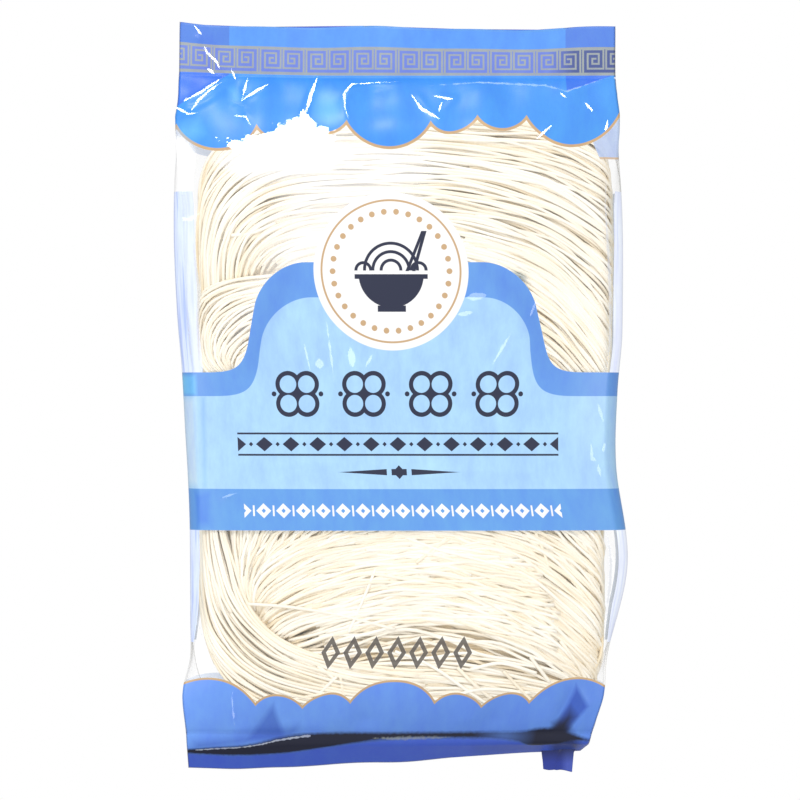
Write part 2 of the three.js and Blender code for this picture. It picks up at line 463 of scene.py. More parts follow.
def makeMedallionGroup():  # a bowl of noodles under a ring of beads
    tree, given, result = newGroup(
        "medallion", [("Across", "Float"), ("Up", "Float")],
        [("Disc", "Float"), ("Tan", "Float"), ("Dark", "Float")])
    x = given["Across"] - medallion["middle"]
    y = given["Up"] - medallion["height"]
    far = made("SQRT", x * x + y * y)
    plug(result["Disc"], maskOf(medallion["radius"] - far))
    ring = medallion["ringLine"] - abs(far - medallion["ring"])
    turn = made("ARCTAN2", y, x) * (30 / math.tau)   # thirty beads
    beadAcross = (made("FRACT", turn + 60.5) - 0.5) * (math.tau * medallion["beads"] / 30)
    beadUp = far - (medallion["beads"] - 0.6)
    bead = discIn(beadAcross, beadUp, 0.0, 0.0, 0.95)
    plug(result["Tan"], maskOf(larger(ring, bead)))

    bowl = smaller(discIn(x, y, 0.0, -1.0, 10.6), -1.4 - y)
    foot = barIn(x, y, 0.0, -11.9, 4.6, 1.0)
    rim = barIn(x, y, 0.0, -1.7, 11.9, 0.75)
    dark = larger(bowl, foot, rim)
    aside = abs(x)
    for middle, radius in ((0.0, 8.6), (0.0, 5.9), (0.0, 3.2), (9.0, 2.4)):
        arc = 0.5 - abs(discIn(aside, y, middle, 0.3, radius))
        arc = smaller(arc, y - 0.2)
        dark = larger(dark, arc)
    for slant, start in ((0.42, 5.2), (0.30, 7.4)):
        stick = 0.55 - abs(x - (y * slant + start))
        stick = smaller(stick, barIn(x, y, 8.0, 6.4, 9.0, 6.4))
        dark = larger(dark, stick)
    plug(result["Dark"], maskOf(dark))
    return tree


def makeOrnamentGroup():  # rows of plain ornaments where such a pack has its words
    tree, given, result = newGroup(
        "ornament rows", [("Across", "Float"), ("Up", "Float")],
        [("Dark", "Float"), ("White", "Float"), ("Brown", "Float")])
    x = given["Across"]

    spacing = 22.4   # four knots of linked rings
    knotX = abs(made("PINGPONG", abs(x), spacing) - spacing / 2)
    knotY = abs(given["Up"] - 1.3)
    link = 0.72 - abs(discIn(knotX, knotY, 3.1, 3.1, 3.5))
    lozenge = 1.7 - (knotX + knotY)
    tip = discIn(knotX, knotY, 7.9, 0.0, 0.8)
    knots = larger(link, lozenge, tip)
    knots = smaller(knots, 44.0 - abs(x))

    cell = 9.1       # a row of lozenges between two rules
    rowX = abs(made("PINGPONG", abs(x) + cell / 2, cell) - cell / 2)
    rowY = abs(given["Up"] + 14.7)
    lozenges = 2.3 - (rowX * 0.8 + rowY)
    dots = 0.75 - (cell / 2 - rowX + rowY)
    rules = 0.3 - abs(rowY - 3.4)
    row = larger(lozenges, dots, rules)
    row = smaller(row, 54.6 - abs(x))

    second = abs(given["Up"] + 23.6)
    wide = abs(x)
    strip = 1.0 - (second + larger(wide - 4.0, 0.0) * 0.06)
    strip = smaller(strip, abs(wide - 3.4) - 0.8)
    strip = larger(strip, 2.2 - (wide + second))
    plug(result["Dark"], maskOf(larger(knots, row, strip)))

    dash = 6.7       # white dashes and dots
    dashX = abs(made("PINGPONG", wide + dash / 2, dash) - dash / 2)
    dashY = abs(given["Up"] + 35.9)
    longs = 1.9 - (dashX * 0.75 + dashY * 0.8)
    longs = smaller(longs, dashX + dashY - 0.75)
    shorts = barIn(dash / 2 - dashX, dashY, 0.0, 0.0, 0.3, 1.7)
    white = smaller(larger(longs, shorts), 53.5 - wide)
    plug(result["White"], maskOf(white))

    mark = 7.4       # a row of small lozenges low on the clear window
    markX = abs(made("PINGPONG", wide + mark / 2, mark) - mark / 2)
    markY = abs(given["Up"] + 81.0)
    outline = 0.8 - abs(markX + markY * 0.6 - 2.4)
    brown = smaller(outline, 26.0 - wide)
    plug(result["Brown"], maskOf(brown))
    return tree


medallionPrint, ornamentRows = makeMedallionGroup(), makeOrnamentGroup()
filmSpan = 350.0   # mm of film to one unit of its map
mapDrop = 125.0    # mm that the map reaches below the film's own zero
inkShade = 0.80


def onMap(around, along):  # the place on the film's map for mm on the film
    return (around + filmSpan / 2) / filmSpan, (along + mapDrop) / filmSpan


def filmPlace(tree, filmMap):  # how far around and along the film, in mm, and both as a vector
    parts = tree.nodes.new("ShaderNodeSeparateXYZ")
    plug(parts.inputs[0], filmMap)
    around = Value(parts.outputs["X"]) * filmSpan - filmSpan / 2
    up = Value(parts.outputs["Y"]) * filmSpan - mapDrop
    return around, up, vectorOf(tree, around, up)


def over(below, mask, ink):  # an ink by its name, or a colour, laid over a colour
    return mixColor(mask, below, fromHex(inks[ink], inkShade) if isinstance(ink, str) else ink)


def unevenInk(tree, around, up, share, color):  # slow streaks in the printing
    tone = noiseTexture(tree, vectorOf(tree, around, up * 0.45), 0.14, 4.0, 0.7, flat=True) * -0.42 + 1.21
    toned = newNode(tree, "CombineColor", {"Red": tone, "Green": tone, "Blue": 1.0})
    return mixColor(share, color, toned.outputs[0], "MULTIPLY")


def vectorMath(tree, operation, first, second, socketName="Vector"):
    node = tree.nodes.new("ShaderNodeVectorMath")
    node.operation = operation
    plug(node.inputs[0], first)
    plug(node.inputs["Scale" if operation == "SCALE" else 1], second)
    return node.outputs[socketName]


def roomIn(tree, place, points):  # how far inside a convex shape, its corners being places of the photograph
    corners = np.array([onFilm(*point) for point in points])
    middle, room = corners.mean(axis=0), None
    for a, b in zip(corners, np.roll(corners, -1, axis=0)):
        inward = np.array([a[1] - b[1], b[0] - a[0]])
        inward *= np.sign(inward @ (middle - a)) / np.linalg.norm(inward)
        across = Value(vectorMath(tree, "DOT_PRODUCT", place, (*inward, 0), "Value"))
        one = across - float(inward @ a)
        room = one if room is None else smaller(room, one)
    return room


def lineIn(tree, place, points, halfWidth):  # how far inside a bent line that is thin at its ends
    corners, room = [np.array(onFilm(*point)) for point in points], None
    for i, (a, b) in enumerate(zip(corners, corners[1:])):
        away = vectorMath(tree, "SUBTRACT", place, (*a, 0))
        run = (b - a) / ((b - a) @ (b - a))
        share = clamped(Value(vectorMath(tree, "DOT_PRODUCT", away, (*run, 0), "Value")) + 0.0)
        near = vectorMath(tree, "SCALE", (*(b - a), 0), share)
        count = len(corners) - 1
        along = share * (2 / count) + (2 * i / count - 1)   # -1 to 1
        thinned = along * along * -halfWidth + halfWidth
        one = thinned - Value(vectorMath(tree, "DISTANCE", away, near, "Value"))
        room = one if room is None else larger(room, one)
    return room


def heightCurve(tree, around, pairs, low, high):  # a height on the film that changes around it
    node = tree.nodes.new("ShaderNodeFloatCurve")
    plug(node.inputs["Value"], clamped(around * (1 / 140) + 0.5))
    points = node.mapping.curves[0].points
    spots = [((x + 70) / 140, (y - low) / (high - low)) for x, y in pairs]
    points[0].location, points[1].location = spots[0], spots[-1]
    for spot in spots[1:-1]:
        points.new(*spot)
    node.mapping.update()
    return Value(node.outputs[0]) * (high - low) + low


# heights of the cusps of the header and of the footer, across the front
headerLine = [
    (-70, 87.9), (-57, 88.7), (-44, 87.4), (-30, 89.1), (-16, 88.7), (10, 88.4), (25, 90.2), (40, 90.3),
    (56, 89.9), (70, 92.2),
]
footerLine = [
    (-70, -97.6), (-60, -98.1), (-45, -98.4), (-30, -99.3), (-14, -97.5), (0, -98.1), (14, -97.7),
    (30, -99.0), (45, -97.7), (61, -97.9), (70, -98.6),
]
# the painted shade of the fold across the bottom seal: its upper and its lower side
foldTop = [
    (-70, -114.2), (-60, -112.9), (-50, -111.9), (-44, -110.6), (-38, -109.0), (-31, -107.9), (-22, -107.4),
    (0, -107.3), (30, -107.1), (45, -106.9), (54, -105.8), (62, -107.5), (70, -110),
]
foldLow = [
    (-70, -116.3), (-50, -116.9), (-38, -116.2), (-30, -114.8), (-22, -113.0), (-10, -110.6), (0, -109.4),
    (20, -109.0), (36, -109.4), (45, -110.6), (52, -113.5), (58, -112.5), (64, -110.2), (70, -110),
]
# painted light and shade on the film: darker where the film lies double and folds into its own shade, and
# pale painted highlights on the header: corners, ink, softness in mm and strength
endLightAndShade = [
    ([(274, 702), (244, 742), (288, 742)], "shade", 2.2, 0.75),
    ([(576, 683), (589, 706), (563, 738), (548, 741)], "shade", 1.6, 1.0),
    ([(571, 706), (578, 716), (566, 736), (536, 744)], "foldShade", 4.0, 1.0),
    ([(565, 735), (589, 744), (585, 752), (566, 752)], "lowStrip", 1.0, 0.8),
    ([(548, 733), (560, 722), (570, 728), (562, 740)], "deepestFoldShade", 2.5, 0.9),
    ([(314, 90), (330, 84), (343, 100), (346, 120), (328, 128), (312, 118)], "paleHighlight", 4.0, 0.55),
    ([(226, 88), (235, 84), (243, 100), (231, 106)], "paleHighlight", 3.0, 0.5),
    ([(178, 122), (200, 118), (206, 134), (192, 146), (176, 136)], "paleHighlight", 4.0, 0.5),
    ([(190, 738), (250, 728), (300, 722), (300, 742), (190, 752)], "shade", 5.0, 0.7),
    ([(551, 722), (568, 718), (583, 744), (576, 752), (548, 752)], "foldShade", 3.0, 0.75),
    ([(470, 743), (560, 738), (560, 750), (470, 757)], "foldShade", 5.0, 0.15),
]
# painted light and shade on the panel: darker and lighter stripes at its ends, where it bends down the sides,
# and soft shade on its shoulders
panelLightAndShade = [
    ([(200, 396), (206, 396), (207, 488), (203, 488)], "deep", 2.5, 0.55),
    ([(180, 396), (196, 396), (199, 487), (188, 487)], "white", 3.0, 0.3),
    ([(178, 374), (197, 374), (198, 396), (180, 396)], "paleHighlight", 1.5, 0.85),
    ([(196, 490), (212, 490), (213, 528), (198, 528)], "overlap", 3.0, 0.5),
    ([(258, 300), (290, 262), (300, 262), (262, 372), (240, 372)], "shade", 14.0, 0.3),
    ([(480, 262), (545, 290), (560, 372), (540, 372)], "shade", 14.0, 0.3),
]


# painted shade: grey lines along the long bends of the clear film beside the noodles
bendShadeLines = [
    ([(193, 241), (199, 290), (199, 368)], 0.5), ([(184, 262), (192, 366)], 0.45),
    ([(606, 180), (610, 290), (607, 368)], 0.45), ([(197, 545), (197, 590), (203, 640)], 0.45),
    ([(606, 532), (606, 625)], 0.5),
]


printOutputs = [("Color", "Color"), ("Glow", "Color"), ("Coverage", "Float"), ("Band", "Float")]
backMiddle = 2 * bag["panelHalf"] + bag["gusset"]


# lays painted light and shade over a colour, shape by shape
def paintLightAndShade(tree, place, within, shapes, color):
    for corners, ink, soft, strength in shapes:
        room = clamped(roomIn(tree, place, corners) * (1 / soft) + 0.2)
        color = over(color, room * strength * within, ink)
    return color


def makeEndPrintGroup():  # header, footer and both seals
    tree, given, result = newGroup("end printing", [("Map", "Vector")], printOutputs)
    around, up, place = filmPlace(tree, given["Map"])
    farAround = abs(around)
    onFront = maskOf(bag["panelHalf"] - farAround)
    onRight = around > 0.0
    aside = smaller(farAround, backMiddle - farAround)   # from either panel's middle
    leftward = larger(-33.0 - around, 0.0)
    headerAside, footerAside = (smaller(leftward * stretch + abs(around + shift), backMiddle - farAround)
                                for shift, stretch in ((2.8, 0.168), (0.0, 0.0)))

    # header and footer, each with a tan edge
    headerHigh = heightCurve(tree, around, headerLine, 80, 100)
    footerHigh = heightCurve(tree, around, footerLine, -110, -90)
    header = useGroup(tree, headerEdge, Aside=headerAside, Rise=up - headerHigh)["Distance"]
    footer = useGroup(tree, footerEdge, Aside=footerAside, Rise=footerHigh - up)["Distance"]
    coverage = maskOf(larger(header + 0.95, footer + 0.7))
    color = over(fromHex(inks["tan"], inkShade), maskOf(header), "sky")
    color = over(color, maskOf(footer), "footer")

    color = over(color, maskOf(up - 112.0), "strip")
    color = over(color, maskOf(up - 118.8) * 0.7, "deep")
    shadeToRight = clamped(around * 0.007 + 0.5)   # painted shade: the header and the footer are darker to the right, away from the main light
    color = over(color, shadeToRight * maskOf(header) * 0.3, "deep")
    color = over(color, shadeToRight * maskOf(footer) * 0.4, "shade")

    # where the tucked gusset doubles the film it looks darker
    past = aside - (bag["panelHalf"] - bag["gusset"] / 2)
    leftLimit = past * -0.62 + 103.0
    rightLimit = past * 0.37 + 97.9
    limit = (rightLimit - leftLimit) * onRight + leftLimit
    tucked = maskOf(past) * maskOf(up - limit)
    twice = over(fromHex(inks["overlap"], inkShade), maskOf(up - 105.0), "doubled")
    color = over(color, tucked * 0.9, twice)

    # key bands in both seals, the lower one all but hidden in the dark of its fold
    topKey = up - (bag["topSealLine"] + keyBand["height"] / 2 + 0.45)
    key = useGroup(tree, keyPattern, Around=around, Up=topKey)
    line = larger(key["Lines"], key["Border"])
    inside = maskOf(keyBand["height"] / 2 - abs(topKey))
    # painted shade: the band's ground turns navy towards its right end
    shaded = clamped(around * 0.12 - 5.8) * 0.62
    ground = over(fromHex(inks["bandGround"], inkShade), shaded, "navy")
    lineShare = inside * line * 0.9
    color = over(over(color, inside, ground), lineShare, "bandLine")
    foldHigh, foldDown = (heightCurve(tree, around, pairs, -120, -100) for pairs in (foldTop, foldLow))
    below = clamped((foldDown - up) * 0.5 + 0.6)
    color = over(color, below, "lowStrip")
    # painted shade of the folds and painted highlights on the header
    color = paintLightAndShade(tree, place, onFront, endLightAndShade, color)
    # painted shade: the fold is painted dark between its two sides, a little less dark about 40 mm right of
    # the middle
    foldRoom = smaller(foldHigh - up, up - foldDown)
    ragged = noiseTexture(tree, place, 0.8, 2.0, flat=True) - 0.5
    dark = clamped((ragged * 0.5 + foldRoom) * 0.75 + 0.55)
    lessFoldShade = clamped(abs(around - 40.0) * -0.1 + 1.1)
    dark = dark * (lessFoldShade * -0.4 + 1.0)
    color = over(color, dark * onFront, "foldShade")
    # painted highlight: a pale line along the top of the fold
    shineRoom = 0.26 - abs(foldHigh - 0.75 - up)
    shine = maskOf(ragged * 0.8 + shineRoom)
    shine = shine * maskOf(20.0 - abs(around + 47.0))
    color = over(color, shine * 0.75, "foldShine")
    grey = lineIn(tree, place, [(372, 738), (405, 738), (452, 737)], 0.5)
    grey = clamped((ragged * 1.2 + grey) * 1.6 + 0.3)
    color = over(color, grey * 0.5 * onFront, "bandLine")

    # the side wall shows pale beside the header at the right
    besideRight = smaller(around - ((84.0 - up) * 0.5 + 60.5), up - 76.2, 96.0 - around)
    beside = maskOf(besideRight) * (1.0 - maskOf(header + 0.95))
    besideEdge = beside * (up < 76.9)
    color = over(over(color, beside, "beside"), besideEdge, "tan")
    coverage = larger(coverage, beside * 0.9)

    # the folded corner tab has a place of its own on the map, below the bag
    onTab = up < -126.0
    # painted shade at the tab's top, and a painted lit face at its lower right
    tabShade = clamped((up + 134.5) * 0.16 + 0.5)
    tabLitShare = clamped((around - 52.2) * 0.5 + 0.2) * 0.8
    tabColor = over(over(fromHex(inks["tab"], inkShade), tabLitShare, "tabLitFace"), tabShade, "foldShade")
    color = over(color, onTab, tabColor)

    plug(result["Color"], unevenInk(tree, around, up, 1.0, color))
    result["Glow"].default_value = (0.0, 0.0, 0.0, 1.0)
    plug(result["Coverage"], coverage)
    plug(result["Band"], inside)
    return tree


def makeMiddlePrintGroup():  # panel, side walls, back, medallion and ornaments
    tree, given, result = newGroup("middle printing", [("Map", "Vector")], printOutputs)
    around, up, place = filmPlace(tree, given["Map"])
    farAround = abs(around)
    onFront = maskOf(bag["panelHalf"] - farAround)
    onRight = around > 0.0

    # the panel on the front
    panelAside = abs(around + 1.5)
    outer = {"Half Width": 51.1, "Lean": 0.24, "Top": 43.2, "Band Top": 8.2, "Corner": 14.0, "Fillet": 13.0}
    inner = {"Half Width": 47.1, "Lean": 0.16, "Top": 32.0, "Band Top": 0.6, "Corner": 14.0, "Fillet": 15.0}
    innerShift = smaller(up * -0.07 + 1.47, 0.4)
    innerAside = abs(around + 1.5 + innerShift)
    outerEdge = useGroup(tree, shoulderedPanel, Aside=panelAside, Up=up, **outer)["Distance"]
    innerEdge = useGroup(tree, shoulderedPanel, Aside=innerAside, Up=up, **inner)["Distance"]
    bottom = up + 42.2
    panelEnd = farAround < bag["panelHalf"] + bag["gusset"] / 2
    panel = maskOf(smaller(outerEdge, bottom)) * panelEnd
    field = maskOf(smaller(innerEdge, up + 29.0)) * panel
    lowBand = maskOf(-29.0 - up) * panel
    color = over(over(fromHex(inks["border"], inkShade), field, "field"), lowBand, "lowBand")
    # painted light and shade on the panel's ends and shoulders
    color = paintLightAndShade(tree, place, panel, panelLightAndShade, color)

    # plain pale panels on the side walls and on the back
    upperLeft = (1.0 - onRight) * (up > -10.0)
    sideStart = upperLeft * -4.0 + 70.2
    wall = maskOf(smaller(farAround - sideStart, bag["panelHalf"] + bag["gusset"] - farAround))
    sideHigh = maskOf(72.0 - abs(up + 6.0))
    side = wall * sideHigh * (onFront * -0.25 + 1.0)
    side = side * (1.0 - panel)
    fromBack = backMiddle - farAround
    backEdge = barIn(fromBack, up, 0.0, -6.0, 54.0, 66.0)
    backPanel, backField = maskOf(backEdge), maskOf(backEdge - 4.0)
    streaks = noiseTexture(tree, vectorOf(tree, around, up * 0.06), 0.42, 2.0, 0.6, flat=True) * 6.0 - 2.9
    # painted shade: the left wall is darker near its fold
    nearFold = clamped(abs(farAround - 71.0) * -0.16 + 0.4)
    streaks = clamped(streaks + nearFold * (1.0 - onRight))
    sideColor = over(fromHex(inks["sideField"], inkShade), streaks, "sideDeep")
    sideColor = over(sideColor, onRight * 0.45, "white")
    color = over(color, side, sideColor)
    color = over(over(color, backPanel, "border"), backField, "sideField")
    coverage = larger(panel, side, backPanel)
    # painted light: the side walls glow with their own colour, for light that comes through them
    glow = over((0.0, 0.0, 0.0, 1.0), side * 0.34, sideColor)
    # painted shade along the bends of the clear film
    bendShade = larger(*[lineIn(tree, place, points, halfWidth) for points, halfWidth in bendShadeLines])
    ragged = noiseTexture(tree, place, 0.8, 2.0, flat=True) - 0.5
    bendShade = clamped((ragged * 0.7 + bendShade) * 2.5 + 0.4) * onFront
    bendShade = bendShade * (1.0 - panel)
    color = over(color, bendShade, "bendShade")
    coverage = larger(coverage, bendShade * 0.6)

    # medallion and ornaments, on the front alone
    seal = useGroup(tree, medallionPrint, Across=around, Up=up)
    rows = useGroup(tree, ornamentRows, Across=around + 1.0, Up=up)
    color = over(over(over(color, seal["Disc"], "white"), seal["Tan"], "tan"), seal["Dark"], "navy")
    coverage = larger(coverage, seal["Disc"])
    color = over(color, rows["Dark"] * onFront, "navy")
    color = over(color, rows["White"] * onFront, "white")
    brown = rows["Brown"] * onFront
    color = over(color, brown, "brown")
    coverage = larger(coverage, brown * 0.94)
    bare = 1.0 - seal["Disc"]
    plug(result["Color"], unevenInk(tree, around, up, bare, color))
    plug(result["Glow"], glow)
    plug(result["Coverage"], coverage)
    result["Band"].default_value = 0.0
    return tree


def plainPrint(tree, filmMap):  # the same print in four blocks, for light that only passes through the film
    around, up = filmPlace(tree, filmMap)[:2]
    farAround = abs(around)
    ends = abs(up + 4.5) > 94.5
    ends = ends * ((farAround > bag["panelHalf"]) * -0.5 + 1.0)
    band = abs(up + 17.0) < 25.0
    raised = (abs(up - 24.0) < 16.0) * (farAround < 41.0)
    body = larger(band, raised) * (farAround < bag["panelHalf"])
    beyond = (farAround > bag["panelHalf"]) * (abs(up + 6.0) < 72.0)
    color = mixColor(ends, fromHex(inks["field"], inkShade), fromHex(inks["sky"], inkShade))
    color = mixColor(up < -106.0, color, fromHex(inks["lowStrip"], inkShade))
    return color, larger(ends, body, beyond * 0.3)


endPrint, middlePrint = makeEndPrintGroup(), makeMiddlePrintGroup()

# creases of the film that catch the main light: places of the photograph and half-width in mm
glints = [
    ([(180, 103), (203, 92), (225, 76)], 0.50), ([(190, 114), (199, 100), (224, 81)], 0.42),
    ([(177, 103), (188, 114), (197, 113)], 0.36), ([(248, 77), (242, 101)], 0.42),
    ([(242, 101), (269, 84)], 0.62), ([(230, 115), (246, 117), (251, 126)], 0.30),
    ([(318, 75), (311, 96), (304, 118)], 0.62),
    ([(402, 82), (352, 84), (344, 94), (345, 108), (349, 121)], 0.42),
    ([(411, 94), (421, 109), (443, 121)], 0.50), ([(433, 96), (454, 100)], 0.45),
    ([(442, 101), (438, 114)], 0.35), ([(560, 93), (566, 98)], 0.45), ([(584, 102), (593, 112)], 0.50),
    ([(534, 141), (552, 125)], 0.50), ([(608, 120), (605, 132)], 0.50),
    ([(203, 43), (207, 53), (216, 61), (222, 73)], 0.45), ([(207, 68), (215, 74)], 0.5),
    ([(231, 69), (236, 80)], 0.40), ([(194, 25), (202, 35)], 0.35),
]
glintPatches = [
    [(302, 113), (330, 132), (338, 143), (262, 150), (259, 139)],
    [(226, 142), (262, 136), (266, 154), (236, 156)],
]
paleGlints = [
    ([(326, 320), (334, 382)], 0.4), ([(304, 343), (310, 370)], 0.4), ([(350, 346), (353, 368)], 1.3),
    ([(319, 358), (320, 369)], 1.5), ([(373, 353), (365, 368)], 0.5), ([(466, 298), (487, 295)], 1.3),
    ([(456, 315), (474, 312)], 0.8), ([(512, 331), (491, 367)], 0.5), ([(537, 298), (529, 319)], 0.5),
    ([(172, 223), (190, 219), (204, 211)], 0.7), ([(221, 498), (237, 493)], 0.4),
    ([(597, 402), (604, 423)], 0.7), ([(591, 440), (592, 458), (597, 461)], 0.7),
    ([(605, 443), (603, 453)], 0.7), ([(598, 463), (601, 478)], 0.7),
]
endPaleGlints = [
    ([(430, 86), (480, 83), (545, 86), (567, 92), (614, 75)], 0.4), ([(233, 688), (235, 730)], 0.35),
]
# painted glare: white patches where the film's glare hides what is under it: corners, softness in mm and
# strength
glarePatches = [
    ([(242, 148), (300, 130), (346, 146), (352, 160), (310, 172), (250, 172), (228, 160)], 7.0, 0.8),
    ([(170, 132), (184, 140), (192, 152), (188, 196), (170, 200)], 2.5, 0.9),
    ([(196, 168), (230, 150), (400, 132), (420, 170), (330, 250), (262, 300), (240, 372), (196, 372)],
     14.0, 0.45),
]


def makeGlintGroup(name, brightLines, paleLines, patches):  # where the film shines and how it faces there
    tree, given, result = newGroup(
        name, [("Map", "Vector")], [("Bright", "Float"), ("Pale", "Float"), ("Facing", "Vector")])
    around, up, place = filmPlace(tree, given["Map"])
    wobble = noiseTexture(tree, place, 0.45, 2.0, 0.6, flat=True) - 0.5
    onFront = abs(around) < bag["panelHalf"]
    if brightLines:
        bright = larger(*[lineIn(tree, place, points, halfWidth) for points, halfWidth in brightLines])
        patch = larger(*[roomIn(tree, place, corners) for corners in patches])
        bright = wobble * 0.7 + bright
        bright = larger(bright, wobble * 7.0 + patch)
        plug(result["Bright"], clamped(bright * 5.0 + 0.4) * onFront)
    pale = larger(*[lineIn(tree, place, points, halfWidth) for points, halfWidth in paleLines])
    pale = wobble * 0.9 + pale
    plug(result["Pale"], clamped(pale * 4.0 + 0.4) * onFront)
    # halfway between the main light and straight up
    plug(result["Facing"], vectorOf(tree, around * -0.00068 - 0.154, up * -0.00058 + 0.331, 0.94))
    return tree


def makeHazeAndGlareGroup():
    tree, given, result = newGroup("film haze and glare", [("Map", "Vector")], [("HazeAndGlare", "Float")])
    place = filmPlace(tree, given["Map"])[2]
    wobble = noiseTexture(tree, place, 0.45, 2.0, 0.6, flat=True) - 0.5
    # the film's own milky haze, with the painted glare patches laid over it
    haze = filmFinish["haze"]
    for corners, soft, strength in glarePatches:
        room = wobble * (0.25 * soft) + roomIn(tree, place, corners)
        haze = larger(clamped(room * (1 / soft) + 0.7) * strength, haze)
    plug(result["HazeAndGlare"], haze)
    return tree


# innerGlow is painted light: how brightly the film's inner side glows
filmFinish = dict(plainRoughness=0.36, glintRoughness=0.1, paleRoughness=0.32, haze=0.03, innerGlow=0.3)
printEnds = (-88.0, 73.0)   # mm along the film, past which the end printing starts
endGlints = makeGlintGroup("end glints", glints, endPaleGlints, glintPatches)
middleGlints = makeGlintGroup("middle glints", [], paleGlints, [])
filmHazeAndGlare = makeHazeAndGlareGroup()


def makeFilmMaterial():
    material, tree, surface = newMaterial("printed clear film")
    filmMap = tree.nodes.new("ShaderNodeUVMap")
    filmMap.uv_map = "filmMap"
    geometry = tree.nodes.new("ShaderNodeNewGeometry").outputs
    back = geometry["Backfacing"]
    haze = useGroup(tree, filmHazeAndGlare, Map=filmMap.outputs[0])["HazeAndGlare"]
    # the film's own gloss lies over ink and haze, and grows at the edges
    layer = newNode(tree, "LayerWeight", {"Blend": 0.5})
    glossShare = Value(layer.outputs["Facing"]) ** 5.0 * 0.6 + 0.045

    def lookOf(printing, shine):
        printed = useGroup(tree, printing, Map=filmMap.outputs[0])
        glinting = useGroup(tree, shine, Map=filmMap.outputs[0])
        # the ink, and the white of the bare film, for its milky haze and for painted glare
        inked = mixColor(printed["Coverage"], fromHex(inks["white"], 0.95), printed["Color"])
        # painted light: the inner side glows with its pale colour, for light that comes through the film from
        # behind
        paintedInnerLight = fromHex(inks["inside"], filmFinish["innerGlow"])
        ink = newNode(tree, "BsdfPrincipled", {
            "Base Color": mixColor(back, inked, fromHex(inks["inside"], inkShade)),
            "Metallic": printed["Band"] * 0.15, "Roughness": 0.6, "Specular IOR Level": 0.0,
            "Alpha": larger(printed["Coverage"], haze),
            "Emission Color": mixColor(back, printed["Glow"], paintedInnerLight), "Emission Strength": 1.0})

        turned = tree.nodes.new("ShaderNodeMix")
        turned.data_type = "VECTOR"
        plug(turned.inputs[0], larger(glinting["Bright"], glinting["Pale"]))
        plug(turned.inputs[4], geometry["Normal"])
        plug(turned.inputs[5], glinting["Facing"])
        plain = filmFinish["plainRoughness"]
        roughness = glinting["Pale"] * (filmFinish["paleRoughness"] - plain) + plain
        roughness = glinting["Bright"] * (filmFinish["glintRoughness"] - plain) + roughness
        gloss = newNode(tree, "BsdfGlossy", {"Roughness": roughness, "Normal": turned.outputs[1]})
        return mixShaders(glossShare, ink, gloss)

    # the ends and the middle of the bag have printing of their own
    up = filmPlace(tree, filmMap.outputs[0])[1]
    middle, half = sum(printEnds) / 2, (printEnds[1] - printEnds[0]) / 2
    atEnds = abs(up - middle) > half
    seen = mixShaders(atEnds, lookOf(middlePrint, middleGlints), lookOf(endPrint, endGlints))

    # light on its way to other things meets plain blocks of colour where the print is
    blocks, blockCoverage = plainPrint(tree, filmMap.outputs[0])
    block = newNode(tree, "BsdfDiffuse", {"Color": blocks})
    unseen = mixShaders(blockCoverage, tree.nodes.new("ShaderNodeBsdfTransparent"), block)
    rays = tree.nodes.new("ShaderNodeLightPath")
    plug(surface, mixShaders(rays.outputs["Is Camera Ray"], unseen, seen).outputs[0])
    return material


filmMaterial = makeFilmMaterial()
print("film printing ready")


film = dict(
    frontColumns=172, wallColumns=24, backColumns=90, sealRows=22, bodyRows=256,
    looseness=0.16,          # mm of slow ups and downs
    crumple=0.30,            # mm of sharper ones, near the seals and on the sides
    frontCrumple=0.25,       # the share of them on the front
)


def filmColumns():  # places round the tube of film, from one edge of the back seam to the other
    half, wall = bag["panelHalf"], bag["gusset"]
    backHalf = film["backColumns"] // 2
    stops = [(-2 * half - wall, -half - wall, backHalf), (-half - wall, -half, film["wallColumns"]),
             (-half, half, film["frontColumns"]), (half, half + wall, film["wallColumns"]),
             (half + wall, 2 * half + wall, backHalf)]
    pieces = [np.linspace(start, end, count, endpoint=False) for start, end, count in stops]
    return np.append(np.concatenate(pieces), 2 * half + wall)


def filmRows():
    top, bottom, seal = bag["topSealLine"], bag["bottomSealLine"], bag["sealWidth"]
    low = np.linspace(bottom - seal, bottom, film["sealRows"], endpoint=False)
    body = np.linspace(bottom, top, film["bodyRows"], endpoint=False)
    return np.concatenate([low, body, np.linspace(top, top + seal, film["sealRows"] + 1)])


